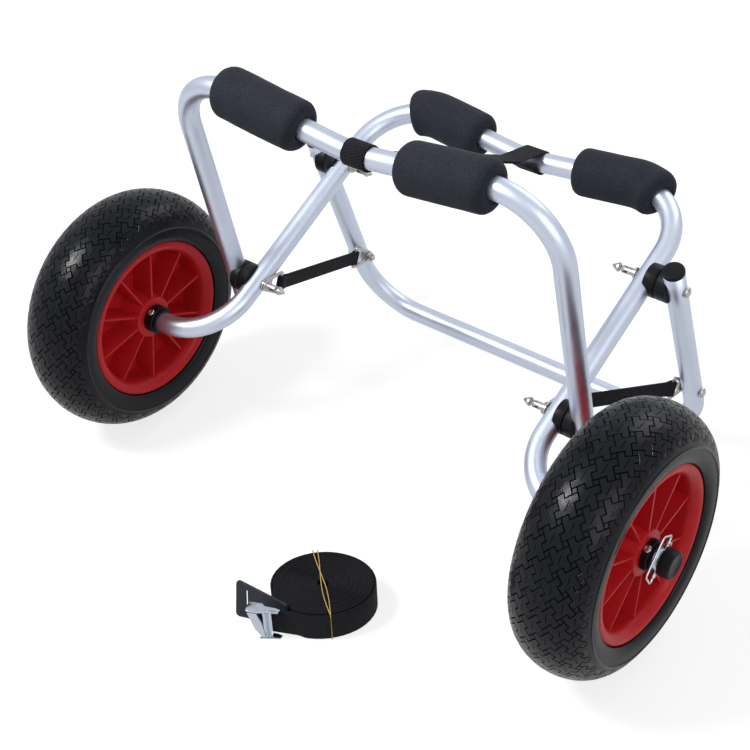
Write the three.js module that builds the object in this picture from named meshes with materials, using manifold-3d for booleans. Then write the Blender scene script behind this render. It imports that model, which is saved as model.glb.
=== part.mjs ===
// A folding two-wheel kayak cart: an axle frame with a wheel on each end, a front frame and a stand that
// hinge on its legs, four foam pads, retaining straps, and a rolled tie-down strap that lies beside it.
// Millimetres. X runs along the axle, +Y to the rear, +Z up. The ground is z = 0.
import * as THREE from "three";
import { mergeVertices } from "three/addons/utils/BufferGeometryUtils.js";
import Module from "manifold-3d";

const wasm = await Module();
wasm.setup();

// Wheels
const tyreDiameter = 254;
const tyreWidth = 80;
const tyreSectionHeight = 52.5;
const sidewallRise = 22.5;
const tyreFit = 0.4;
const rimWidth = 72;
const rimFlangeHeight = 9.5;
const rimFlangeThickness = 3;
const rimBarrelWall = 3.4;
const rimWebThickness = 4;
const hubLength = 60;
const hubDiameter = 44;
const hubRootDiameter = 50;
const rimRibCount = 10;
const rimRibThickness = 2.6;
const rimRibHubSetback = 1.5;
const rimRibBarrelSetback = 8;
const rimRibTurn = 10;

// Bent tubes
const tubeDiameter = 20.5;
const tubeWall = 1.5;
const bendRadius = 61.5;
const barKinkRadius = 150;

// Axle frame, leaning back from the axle
const axleFrameTilt = 25.4;
const axleFrameLegSpacing = 367.4;
const axleFrameReach = 342;
const axleFrameBarDip = 22.2;
const collarBendGap = 5.5;

// Front frame
const frontPivotRise = 21.1;
const frontFrameTilt = 101.6;
const frontLegGap = 6.6;
const frontFrameLength = 263.2;
const frontFrameBarDip = 30.6;
const frontFrameTail = 25;

// Stand
const standPivotDrop = 37.8;
const standTilt = 71;
const standLegGap = 10.8;
const standTail = 22;
const standCapThickness = 4;
const standBoltRise = 14.45;

// Pads
const padDiameter = 48;
const padLength = 94;
const padStart = 57;
const padRounding = 7;

// Pivots: a pin through each pair of legs, with a saddle washer on each tube
const pinDiameter = 6;
const pinFit = 0.3;
const pinHeadDiameter = 11;
const pinHeadHeight = 4;
const pinFlangeDiameter = 12;
const pinFlangeThickness = 2;
const pinSleeveDiameter = 7.2;
const pinLegClearance = 0.3;
const saddleDiameter = 32;
const saddleGap = 0.3;
const saddleWrap = 7;
const nosePivotSetback = 24.7;
const noseLength = 8;
const noseDiameter = 9;
const noseClearance = 4.4;
const tangThickness = 2;
const tangHeight = 5.4;
const slotThickness = 2.8;
const slotDepth = 4.6;
const forkReach = 1.6;
const tangRootLength = 2;

// Axle stops, end caps and lock pins
const collarFit = 0.3;
const innerCollarLength = 14;
const collarDiameter = 29;
const collarLipDiameter = 25;
const collarLipLength = 3;
const outerCollarLength = 9.6;
const collarScrewAngle = 120;
const screwDiameter = 3.6;
const screwHeadDiameter = 7;
const screwHeadHeight = 1.8;
const screwLength = 3;
const endCapDiameter = 26;
const endCapThickness = 6;
const endCapPinRoom = 0.8;
const endPlugLength = 10;
const capRounding = 1.2;
const lockPinSetIn = 8;
const lockPinRoom = 3.1;
const lockPinDiameter = 4;
const lockPinAngle = 45;
const lockPinHeadRoom = 1;
const lockPinHeadDiameter = 6.4;
const lockPinHeadLength = 3;
const bailWire = 2.2;
const bailReach = 22.6;
const bailBow = 15;
const bailBendRadius = 4;

// Webbing straps and their triangular brackets
const webbingThickness = 1.3;
const topStrapWidth = 25;
const topStrapFrontShift = 5.1;
const topStrapRearShift = 7;
const topStrapFrontEye = 18;
const topStrapRearEye = 34;
const lowerStrapWidth = 15;
const lowerStrapEye = 9;
const strapBarClearance = 1.4;
const bracketBarClearance = 0.5;
const bracketThickness = 2;
const bracketLength = 23;
const bracketWidth = 25;
const bracketRim = 3.6;
const bracketEarRadius = 6.6;
const bracketCornerRadius = 2.4;
const boltDiameter = 6;
const boltHeadDiameter = 11;
const boltHeadHeight = 3.6;
const nutWidth = 10;
const nutThickness = 5;
const boltEnd = 3;

// Rolled tie-down strap with its cam buckle
const rollCentreX = 58.2;
const rollCentreY = -118.5;
const rollDiameter = 101;
const rollDepthShare = 0.83;
const rollDepthAngle = -53;
const rollCoreDiameter = 12;
const rollWebbingWidth = 30;
const rollWebbingThickness = 1.7;
const rollLoops = 16;
const rollStepsPerLoop = 24;
const rollLooseLoops = 0.4;
const rollLooseGap = 3;
const tailAngle = 205;
const tailLength = 46;
const tailLead = 9;
const tailRise = 2.3;
const tieAngle = -40;
const tieWidth = 3;
const tieThickness = 0.9;
const tieGrooveDepth = 1.6;
const tieGrooveWidth = 5;
const tieClearance = 0.6;
const buckleClearance = 0.4;
const buckleLength = 32;
const buckleHeight = 34;
const bucklePlate = 1.4;
const buckleDepth = 12;
const buckleSetback = 8;
const buckleLift = 0.3;
const leverAxleDiameter = 4;
const leverBarrelDiameter = 8;
const leverAxleShare = 0.4;
const leverLength = 18;
const leverThickness = 1.6;
const leverSideClearance = 0.6;
const flapLength = 54;
const flapHeight = 33.5;
const flapThickness = 1.8;
const flapRounding = 4;
const flapAngle = 182;
const flapSlotHeight = 22;
const flapSlotWidth = 2;
const flapSlotInset = 10;
const flapTuck = 2;
const flapRollGap = 0.4;

// Counts and fine steps
const tubeSides = 12;
const boreSides = 6;
const bendSteps = 6;
const wheelSteps = 28;
const rimSteps = 20;
const sidewallSteps = 3;
const turnedSteps = 12;
const wireSides = 6;
const cutOverrun = 1;
const tyreProfileSteps = 8;
const bracketSteps = 5;
const topStrapEyeSteps = 6;
const lowerStrapEyeSteps = 4;

const right = 1;
const left = -1;
const sides = [
  { side: left, word: "left" },
  { side: right, word: "right" },
];

const tubeRadius = tubeDiameter / 2;
const tyreRadius = tyreDiameter / 2;
const tyreSeatRadius = tyreRadius - tyreSectionHeight;
const rimFlangeRadius = tyreSeatRadius + rimFlangeHeight;
const radians = THREE.MathUtils.degToRad;
const acrossCart = new THREE.Vector3(1, 0, 0);

// A direction square to the axle, at an angle above +Y.
function directionAt(angle) {
  return new THREE.Vector3(0, Math.cos(radians(angle)), Math.sin(radians(angle)));
}

const finishes = {
  satinAluminium: new THREE.MeshStandardMaterial({ color: 0xc9ccd4, roughness: 0.35, metalness: 0.9 }),
  zincSteel: new THREE.MeshStandardMaterial({ color: 0xb4b2ae, roughness: 0.3, metalness: 1 }),
  chromeSteel: new THREE.MeshStandardMaterial({ color: 0xd5d8e0, roughness: 0.15, metalness: 1 }),
  blackPlastic: new THREE.MeshStandardMaterial({ color: 0x17181b, roughness: 0.45, metalness: 0 }),
  blackFoam: new THREE.MeshStandardMaterial({ color: 0x1b1b1d, roughness: 0.9, metalness: 0 }),
  blackRubber: new THREE.MeshStandardMaterial({ color: 0x141517, roughness: 0.6, metalness: 0 }),
  redPlastic: new THREE.MeshStandardMaterial({ color: 0xa81218, roughness: 0.4, metalness: 0 }),
  blackWebbing: new THREE.MeshStandardMaterial({ color: 0x121315, roughness: 0.85, metalness: 0 }),
  goldElastic: new THREE.MeshStandardMaterial({ color: 0xb9a04a, roughness: 0.6, metalness: 0.2 }),
};

// Merges a closed surface's vertices, drops collapsed faces and turns its faces outwards.
function closed(geometry) {
  const bare = new THREE.BufferGeometry();
  bare.setAttribute("position", geometry.getAttribute("position").clone());
  if (geometry.index) bare.setIndex(geometry.index.clone());
  const merged = mergeVertices(bare, 1e-4);
  const corners = merged.index.array;
  const places = merged.getAttribute("position");
  const a = new THREE.Vector3();
  const b = new THREE.Vector3();
  const c = new THREE.Vector3();
  const kept = [];
  let volume = 0;
  for (let i = 0; i < corners.length; i += 3) {
    const [p, q, r] = [corners[i], corners[i + 1], corners[i + 2]];
    if (p === q || q === r || r === p) continue;
    kept.push(p, q, r);
    a.fromBufferAttribute(places, p);
    b.fromBufferAttribute(places, q);
    c.fromBufferAttribute(places, r);
    volume += a.dot(b.cross(c));
  }
  if (volume < 0) kept.reverse();
  merged.setIndex(kept);
  merged.computeVertexNormals();
  return merged;
}

function solidOf(geometry) {
  const shell = closed(geometry);
  return new wasm.Manifold(
    new wasm.Mesh({
      numProp: 3,
      vertProperties: shell.getAttribute("position").array,
      triVerts: new Uint32Array(shell.index.array),
    }),
  );
}

function geometryOf(solid) {
  const mesh = solid.getMesh();
  const geometry = new THREE.BufferGeometry();
  geometry.setAttribute("position", new THREE.BufferAttribute(new Float32Array(mesh.vertProperties), 3));
  geometry.setIndex(new THREE.BufferAttribute(new Uint32Array(mesh.triVerts), 1));
  geometry.computeVertexNormals();
  return geometry;
}

const cart = new THREE.Group();
cart.name = "kayak_cart";

function addPiece(name, geometry, finish) {
  const mesh = new THREE.Mesh(geometry, finish);
  mesh.name = name;
  cart.add(mesh);
}

// A solid turned about the X axis from a profile of [x, radius] places.
function turned(profile, steps = turnedSteps) {
  const points = profile.map(([x, radius]) => new THREE.Vector2(radius, x));
  return closed(new THREE.LatheGeometry(points, steps).rotateZ(-Math.PI / 2));
}

// A bar of round section between two places.
function roundBar(from, to, radius, steps = turnedSteps) {
  const run = to.clone().sub(from);
  const bar = new THREE.CylinderGeometry(radius, radius, run.length(), steps);
  const turn = new THREE.Quaternion().setFromUnitVectors(new THREE.Vector3(0, 1, 0), run.normalize());
  bar.applyQuaternion(turn);
  const middle = from.clone().add(to).multiplyScalar(0.5);
  return closed(bar.translate(middle.x, middle.y, middle.z));
}

// The solid that cuts a round hole: its flats lie at the hole's radius.
function holeSpace(from, to, radius, steps = wireSides) {
  return solidOf(roundBar(from, to, radius / Math.cos(Math.PI / steps), steps));
}

// A flat outline in the plane of two directions, given thickness along the third and placed at an origin.
function slab(shape, thickness, along, up, origin, curveSegments = 4) {
  const flat = new THREE.ExtrudeGeometry(shape, { depth: thickness, bevelEnabled: false, curveSegments });
  const through = new THREE.Vector3().crossVectors(along, up);
  const placed = new THREE.Matrix4().makeBasis(along, up, through).setPosition(origin);
  return closed(flat.applyMatrix4(placed));
}

// The centre line of a tube bent in one plane: straight runs between corners, each rounded by its radius.
class TubeRoute extends THREE.Curve {
  constructor(corners, radii, planeNormal, stepsPerRightAngle = bendSteps) {
    super();
    this.planeNormal = planeNormal;
    this.runs = [];
    this.stations = [0];
    this.total = 0;
    let start = corners[0];
    radii.forEach((radius, i) => {
      const corner = corners[i + 1];
      const before = corner.clone().sub(corners[i]).normalize();
      const after = corners[i + 2].clone().sub(corner).normalize();
      const turn = before.angleTo(after);
      const setback = radius * Math.tan(turn / 2);
      const bendStart = corner.clone().addScaledVector(before, -setback);
      const inwards = after.clone().addScaledVector(before, -before.dot(after)).normalize();
      this.addStraight(start, bendStart);
      this.addBend(bendStart, before, inwards, radius, turn, stepsPerRightAngle);
      start = corner.clone().addScaledVector(after, setback);
    });
    this.addStraight(start, corners[corners.length - 1]);
  }

  addStraight(from, to) {
    const tangent = to.clone().sub(from);
    const length = tangent.length();
    tangent.normalize();
    this.runs.push({
      start: this.total,
      at: (distance) => {
        const point = from.clone().addScaledVector(tangent, distance);
        return { point, tangent: tangent.clone() };
      },
    });
    this.total += length;
    this.stations.push(this.total);
  }

  addBend(from, tangent, inwards, radius, turn, stepsPerRightAngle) {
    const steps = Math.max(1, Math.round((turn / (Math.PI / 2)) * stepsPerRightAngle));
    const centre = from.clone().addScaledVector(inwards, radius);
    this.runs.push({
      start: this.total,
      at: (distance) => {
        const angle = distance / radius;
        const point = centre.clone();
        point.addScaledVector(inwards, -radius * Math.cos(angle));
        point.addScaledVector(tangent, radius * Math.sin(angle));
        const heading = tangent.clone().multiplyScalar(Math.cos(angle));
        heading.addScaledVector(inwards, Math.sin(angle));
        return { point, tangent: heading };
      },
    });
    for (let i = 1; i <= steps; i++) this.stations.push(this.total + (radius * turn * i) / steps);
    this.total += radius * turn;
  }

  // A place beside the route as its faceted tube has it: straight from each station to the next.
  besideAt(distance, alongNormal, alongBinormal) {
    const next = Math.max(1, this.stations.findIndex((station) => station >= distance));
    const share = (distance - this.stations[next - 1]) / (this.stations[next] - this.stations[next - 1]);
    const [from, to] = [this.stations[next - 1], this.stations[next]].map((station) => {
      const { point, tangent } = this.at(station);
      const binormal = new THREE.Vector3().crossVectors(tangent, this.planeNormal);
      return point.addScaledVector(this.planeNormal, alongNormal).addScaledVector(binormal, alongBinormal);
    });
    return from.lerp(to, share);
  }

  at(distance) {
    const run = this.runs.filter((each) => each.start <= distance + 1e-9).pop();
    return run.at(distance - run.start);
  }

  // Even steps of the curve fall on its stations, which are close together only where it bends.
  distanceAt(share) {
    const place = share * (this.stations.length - 1);
    const i = Math.min(Math.floor(place + 1e-9), this.stations.length - 2);
    return THREE.MathUtils.lerp(this.stations[i], this.stations[i + 1], place - i);
  }

  getPoint(share) {
    return this.at(this.distanceAt(share)).point;
  }

  getPointAt(share) {
    return this.getPoint(share);
  }

  computeFrenetFrames(steps) {
    const frames = { tangents: [], normals: [], binormals: [] };
    for (let i = 0; i <= steps; i++) {
      const { tangent } = this.at(this.distanceAt(i / steps));
      frames.tangents.push(tangent);
      frames.normals.push(this.planeNormal.clone());
      frames.binormals.push(new THREE.Vector3().crossVectors(tangent, this.planeNormal));
    }
    return frames;
  }
}

function ringOfPoints(radius, count, firstAngle = 0) {
  const points = [];
  for (let i = 0; i < count; i++) {
    const angle = firstAngle + (2 * Math.PI * i) / count;
    points.push(new THREE.Vector2(radius * Math.cos(angle), radius * Math.sin(angle)));
  }
  return points;
}

// A tube along a route; with a wall it is a pipe with open ends, and without one a solid wire.
function tubeAlong(route, radius, count, wall, firstAngle = 0) {
  const section = new THREE.Shape(ringOfPoints(radius, count, firstAngle));
  if (wall) section.holes.push(new THREE.Path(ringOfPoints(radius - wall, boreSides).reverse()));
  const steps = route.stations.length - 1;
  return closed(new THREE.ExtrudeGeometry(section, { steps, extrudePath: route }));
}

// Key places, as points of the plane square to the axle
const axleCentre = new THREE.Vector3(0, 0, tyreRadius);
const axleFrameUp = directionAt(axleFrameTilt);
const frontPivot = axleCentre.clone().addScaledVector(axleFrameUp, bendRadius + frontPivotRise);
const frontFrameUp = directionAt(frontFrameTilt);
const standPivotReach = axleFrameReach - bendRadius - standPivotDrop;
const standPivot = axleCentre.clone().addScaledVector(axleFrameUp, standPivotReach);
const standDown = directionAt(-standTilt);
const standBarHeight = tubeRadius * Math.cos(Math.PI / tubeSides);
const standLength = (standPivot.z - standBarHeight) / -standDown.z;
const standBoltReach = standLength - bendRadius - standBoltRise;
const standBolt = standPivot.clone().addScaledVector(standDown, standBoltReach);
const axleLegX = axleFrameLegSpacing / 2;
const frontLegX = axleLegX + tubeDiameter + frontLegGap;
const standLegX = axleLegX + tubeDiameter + standLegGap;

// Along the axle from the leg: its bend, the inner collar, the hub, the outer collar, the lock pin and the end
const innerCollarEndX = axleLegX + bendRadius + collarBendGap;
const hubInnerX = innerCollarEndX + innerCollarLength + collarFit;
const hubOuterX = hubInnerX + hubLength;
const wheelX = (hubInnerX + hubOuterX) / 2;
const lockPinX = hubOuterX + collarFit + outerCollarLength + lockPinRoom;
const axleEndX = lockPinX + lockPinSetIn;
const lockPinReach = endCapDiameter / 2 + lockPinHeadRoom + lockPinHeadLength;

function placeOn(origin, x, direction, distance) {
  return origin.clone().addScaledVector(acrossCart, x).addScaledVector(direction, distance);
}

// Axle frame: one tube from axle end to axle end, over the rear bar
const axleFrameNormal = new THREE.Vector3().crossVectors(acrossCart, axleFrameUp);
const axleFrameRoute = new TubeRoute(
  [
    placeOn(axleCentre, -axleEndX, axleFrameUp, 0),
    placeOn(axleCentre, -axleLegX, axleFrameUp, 0),
    placeOn(axleCentre, -axleLegX, axleFrameUp, axleFrameReach),
    placeOn(axleCentre, 0, axleFrameUp, axleFrameReach - axleFrameBarDip),
    placeOn(axleCentre, axleLegX, axleFrameUp, axleFrameReach),
    placeOn(axleCentre, axleLegX, axleFrameUp, 0),
    placeOn(axleCentre, axleEndX, axleFrameUp, 0),
  ],
  [bendRadius, bendRadius, barKinkRadius, bendRadius, bendRadius],
  axleFrameNormal,
);

// Front frame: an upside-down U whose bar dips in the middle
const frontFrameNormal = new THREE.Vector3().crossVectors(acrossCart, frontFrameUp);
const frontFrameRoute = new TubeRoute(
  [
    placeOn(frontPivot, -frontLegX, frontFrameUp, -frontFrameTail),
    placeOn(frontPivot, -frontLegX, frontFrameUp, frontFrameLength),
    placeOn(frontPivot, 0, frontFrameUp, frontFrameLength - frontFrameBarDip),
    placeOn(frontPivot, frontLegX, frontFrameUp, frontFrameLength),
    placeOn(frontPivot, frontLegX, frontFrameUp, -frontFrameTail),
  ],
  [bendRadius, barKinkRadius, bendRadius],
  frontFrameNormal,
);

// Stand: a U whose bar lies on the ground
const standNormal = new THREE.Vector3().crossVectors(acrossCart, standDown);
const standRoute = new TubeRoute(
  [
    placeOn(standPivot, -standLegX, standDown, -standTail),
    placeOn(standPivot, -standLegX, standDown, standLength),
    placeOn(standPivot, standLegX, standDown, standLength),
    placeOn(standPivot, standLegX, standDown, -standTail),
  ],
  [bendRadius, bendRadius],
  standNormal,
);

// Drills the pivot and bolt holes of a tube.
function drilled(geometry, holes) {
  let solid = solidOf(geometry);
  for (const { at, x, radius } of holes) {
    const reach = tubeRadius + cutOverrun;
    const from = placeOn(at, x - reach, acrossCart, 0);
    const to = placeOn(at, x + reach, acrossCart, 0);
    solid = solid.subtract(holeSpace(from, to, radius));
  }
  return solid;
}

const pinHoleRadius = pinDiameter / 2 + pinFit;
const lockPinDirection = directionAt(lockPinAngle);

function makeAxleFrameTube() {
  const holes = [];
  for (const { side } of sides) {
    holes.push({ at: frontPivot, x: side * axleLegX, radius: pinHoleRadius });
    holes.push({ at: standPivot, x: side * axleLegX, radius: pinHoleRadius });
  }
  let solid = drilled(tubeAlong(axleFrameRoute, tubeRadius, tubeSides, tubeWall), holes);
  for (const { side } of sides) {
    const reach = tubeRadius + cutOverrun;
    const from = placeOn(axleCentre, side * lockPinX, lockPinDirection, -reach);
    const to = placeOn(axleCentre, side * lockPinX, lockPinDirection, reach);
    solid = solid.subtract(holeSpace(from, to, lockPinDiameter / 2 + pinFit));
  }
  addPiece("axle_frame_tube", geometryOf(solid), finishes.satinAluminium);
}

function makeFrontFrameTube() {
  const holes = sides.map(({ side }) => ({ at: frontPivot, x: side * frontLegX, radius: pinHoleRadius }));
  const tube = tubeAlong(frontFrameRoute, tubeRadius, tubeSides, tubeWall);
  addPiece("front_frame_tube", geometryOf(drilled(tube, holes)), finishes.satinAluminium);
}

// The stand's section is turned so that one flat of its bar lies on the ground.
function makeStandTube() {
  const halfFlat = Math.PI / tubeSides;
  const downInSection = Math.PI + radians(standTilt);
  const holes = [];
  for (const { side } of sides) {
    holes.push({ at: standPivot, x: side * standLegX, radius: pinHoleRadius });
    holes.push({ at: standBolt, x: side * standLegX, radius: boltDiameter / 2 + pinFit });
  }
  const tube = tubeAlong(standRoute, tubeRadius, tubeSides, tubeWall, downInSection + halfFlat);
  addPiece("stand_tube", geometryOf(drilled(tube, holes)), finishes.satinAluminium);
}

// A foam sleeve on a tube: it follows the route's own stations, so its bore keeps clear on the bend.
function sleeveOn(route, from, to) {
  const boreRadius = tubeRadius + tyreFit;
  const padRadius = padDiameter / 2;
  const roundedFrom = from + padRounding;
  const roundedTo = to - padRounding;
  const inner = route.stations.filter((station) => station > roundedFrom && station < roundedTo);
  const stops = [from, roundedFrom, ...inner, roundedTo, to];
  const profile = [];
  const roundSteps = 2;
  for (let i = 0; i <= roundSteps; i++) {
    const angle = (Math.PI / 2) * (i / roundSteps);
    const rise = padRounding * Math.sin(angle);
    profile.push([roundedFrom - padRounding * Math.cos(angle), padRadius - padRounding + rise]);
  }
  for (const station of inner) profile.push([station, padRadius]);
  for (let i = roundSteps; i >= 0; i--) {
    const angle = (Math.PI / 2) * (i / roundSteps);
    const rise = padRounding * Math.sin(angle);
    profile.push([roundedTo + padRounding * Math.cos(angle), padRadius - padRounding + rise]);
  }
  for (const stop of stops.reverse()) profile.push([stop, boreRadius]);
  profile.push(profile[0]);
  const points = profile.map(([distance, radius]) => new THREE.Vector2(radius, distance));
  const straight = new THREE.LatheGeometry(points, tubeSides);
  const places = straight.getAttribute("position");
  for (let i = 0; i < places.count; i++) {
    const place = route.besideAt(places.getY(i), places.getX(i), places.getZ(i));
    places.setXYZ(i, place.x, place.y, place.z);
  }
  return closed(straight);
}

function makePads(route, word) {
  const middle = route.total / 2;
  for (const { side, word: sideWord } of sides) {
    const near = middle + side * padStart;
    const far = middle + side * (padStart + padLength);
    const pad = sleeveOn(route, Math.min(near, far), Math.max(near, far));
    addPiece(`${word}_pad_${sideWord}`, pad, finishes.blackFoam);
  }
}

// A pair of saddle washers between two legs: each is hollowed to its own tube, and they turn on each other.
function makeSaddles(pivot, legX, gap, outerDirection, word) {
  const joint = legX - tubeRadius - gap / 2;
  for (const { side, word: sideWord } of sides) {
    const halves = [
      { name: `${word}_inner_saddle_${sideWord}`, tubeX: axleLegX, direction: axleFrameUp, way: right },
      { name: `${word}_outer_saddle_${sideWord}`, tubeX: legX, direction: outerDirection, way: left },
    ];
    for (const { name, tubeX, direction, way } of halves) {
      const from = side * (tubeX + way * (tubeRadius - saddleWrap));
      const to = side * (joint - (way * saddleGap) / 2);
      const barFrom = placeOn(pivot, from, direction, 0);
      const barTo = placeOn(pivot, to, direction, 0);
      const bar = roundBar(barFrom, barTo, saddleDiameter / 2);
      const tubeFrom = placeOn(pivot, side * tubeX, direction, -saddleDiameter);
      const tubeTo = placeOn(pivot, side * tubeX, direction, saddleDiameter);
      const tubeSpace = holeSpace(tubeFrom, tubeTo, tubeRadius + saddleGap, tubeSides);
      const holeFrom = placeOn(pivot, from - side * way * saddleDiameter, direction, 0);
      const holeTo = placeOn(pivot, to + side * way * saddleDiameter, direction, 0);
      const saddle = solidOf(bar).subtract(tubeSpace).subtract(holeSpace(holeFrom, holeTo, pinHoleRadius));
      addPiece(name, geometryOf(saddle), finishes.blackPlastic);
    }
  }
}

// A drop-nose pin: domed head outside, shaft through both legs, flange and slotted sleeve inside.
const nosePivotX = axleLegX - nosePivotSetback;

function makePivotPin(pivot, legX, legX2, flangeSetback, word) {
  const shaft = pinDiameter / 2;
  const sleeve = pinSleeveDiameter / 2;
  const head = pinHeadDiameter / 2;
  const flange = pinFlangeDiameter / 2;
  const headStart = legX2 + tubeRadius + pinLegClearance;
  const flangeEnd = legX - tubeRadius - flangeSetback - pinLegClearance;
  const forkEnd = nosePivotX - forkReach;
  const edgeShare = 0.75;
  const profile = [
    [headStart + pinHeadHeight, 0],
    [headStart + pinHeadHeight * edgeShare, head * edgeShare],
    [headStart, head],
    [headStart, shaft],
    [flangeEnd, shaft],
    [flangeEnd, flange],
    [flangeEnd - pinFlangeThickness, flange],
    [flangeEnd - pinFlangeThickness, sleeve],
    [forkEnd, sleeve],
    [forkEnd, 0],
  ];
  for (const { side, word: sideWord } of sides) {
    const pin = turned(profile.map(([x, radius]) => [side * x, radius]));
    const slotLength = slotDepth + forkReach;
    const cutLength = slotLength + cutOverrun;
    const slot = new THREE.BoxGeometry(cutLength, pinSleeveDiameter + cutOverrun, slotThickness);
    slot.translate(side * (forkEnd - cutOverrun + cutLength / 2), 0, 0);
    const body = geometryOf(solidOf(pin).subtract(solidOf(slot)));
    body.translate(pivot.x, pivot.y, pivot.z);
    addPiece(`${word}_pin_${sideWord}`, body, finishes.zincSteel);
    makeNose(pivot, side, `${word}_pin_nose_${sideWord}`);
  }
}

// The pin's hinged nose: a bullet on a round-ended tang that sits in the slot and swings on a rivet.
function makeNose(pivot, side, name) {
  const base = nosePivotX - noseClearance;
  const tip = base - noseLength;
  const tipShare = 0.3;
  const shoulderShare = 0.3;
  const profile = [
    [side * base, 0],
    [side * base, noseDiameter / 2],
    [side * (base - noseLength * shoulderShare), noseDiameter / 2],
    [side * tip, (noseDiameter / 2) * tipShare],
    [side * tip, 0],
  ];
  const tang = new THREE.Shape();
  const half = tangHeight / 2;
  tang.moveTo(-noseClearance - tangRootLength, -half);
  tang.lineTo(0, -half);
  tang.absarc(0, 0, half, -Math.PI / 2, Math.PI / 2, false);
  tang.lineTo(-noseClearance - tangRootLength, half);
  tang.closePath();
  const along = acrossCart.clone().multiplyScalar(side);
  const across = directionAt(0);
  const through = new THREE.Vector3().crossVectors(along, across);
  const origin = new THREE.Vector3(side * nosePivotX, 0, 0).addScaledVector(through, -tangThickness / 2);
  const plate = slab(tang, tangThickness, along, across, origin);
  const nose = geometryOf(solidOf(turned(profile)).add(solidOf(plate)));
  addPiece(name, nose.translate(pivot.x, pivot.y, pivot.z), finishes.zincSteel);
}

function makeTyre(side, word) {
  const half = tyreWidth / 2;
  const widest = tyreSeatRadius + sidewallRise;
  const crown = tyreRadius - widest;
  const seat = (tyreSeatRadius + tyreFit) / Math.cos(Math.PI / wheelSteps);
  const beadHalf = rimWidth / 2 - rimFlangeThickness - tyreFit;
  const flangeTop = (rimFlangeRadius + tyreFit) / Math.cos(Math.PI / wheelSteps);
  const beadShare = 0.9;
  const bead = half * beadShare;
  const outside = [];
  const lower = [];
  for (let i = 0; i <= tyreProfileSteps; i++) {
    const angle = (Math.PI * i) / tyreProfileSteps;
    outside.push([-half * Math.cos(angle), widest + crown * Math.sin(angle)]);
  }
  for (let i = 1; i <= sidewallSteps; i++) {
    const angle = (Math.PI / 2) * (i / sidewallSteps);
    const x = bead + (half - bead) * Math.cos(angle);
    lower.push([x, widest - (widest - flangeTop) * Math.sin(angle)]);
  }
  const profile = [
    [-beadHalf, seat],
    [-beadHalf, flangeTop],
    ...lower.map(([x, radius]) => [-x, radius]).reverse(),
    ...outside,
    ...lower,
    [beadHalf, flangeTop],
    [beadHalf, seat],
    [-beadHalf, seat],
  ];
  const tyre = turned(profile, wheelSteps).translate(side * wheelX, 0, axleCentre.z);
  addPiece(`tyre_${word}`, tyre, finishes.blackRubber);
}

function makeRim(side, word) {
  const bore = tubeRadius + tyreFit;
  const face = rimWidth / 2;
  const flangeInside = face - rimFlangeThickness;
  const barrel = tyreSeatRadius - rimBarrelWall;
  const hubEnd = hubLength / 2;
  const web = rimWebThickness / 2;
  const hub = hubDiameter / 2;
  const lip = rimFlangeRadius - rimBarrelWall;
  const flareShare = 0.8;
  const flare = face * flareShare;
  const half = [
    [hubEnd, bore],
    [hubEnd, hub - capRounding],
    [hubEnd - capRounding, hub],
    [web, hubRootDiameter / 2],
    [web, barrel],
    [flare, barrel],
    [face, lip],
    [face, rimFlangeRadius],
    [flangeInside, rimFlangeRadius],
    [flangeInside, tyreSeatRadius],
  ];
  const mirrored = half.map(([x, radius]) => [-x, radius]).reverse();
  let solid = solidOf(turned([...half, ...mirrored, half[0]], rimSteps));
  const hubOverlap = hub - bore;
  const ribAtHub = hubEnd - rimRibHubSetback;
  const ribAtBarrel = face - rimRibBarrelSetback;
  const rib = new THREE.Shape();
  rib.moveTo(-ribAtHub, bore + hubOverlap / 2);
  rib.lineTo(ribAtHub, bore + hubOverlap / 2);
  rib.lineTo(ribAtHub, hub);
  rib.lineTo(ribAtBarrel, barrel + rimBarrelWall / 2);
  rib.lineTo(-ribAtBarrel, barrel + rimBarrelWall / 2);
  rib.lineTo(-ribAtHub, hub);
  rib.closePath();
  for (let i = 0; i < rimRibCount; i++) {
    const outwards = directionAt(rimRibTurn + (360 * i) / rimRibCount);
    const through = new THREE.Vector3().crossVectors(acrossCart, outwards);
    const origin = through.multiplyScalar(-rimRibThickness / 2);
    solid = solid.add(solidOf(slab(rib, rimRibThickness, acrossCart, outwards, origin)));
  }
  const rim = geometryOf(solid).translate(side * wheelX, 0, axleCentre.z);
  addPiece(`rim_${word}`, rim, finishes.redPlastic);
}

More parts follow.
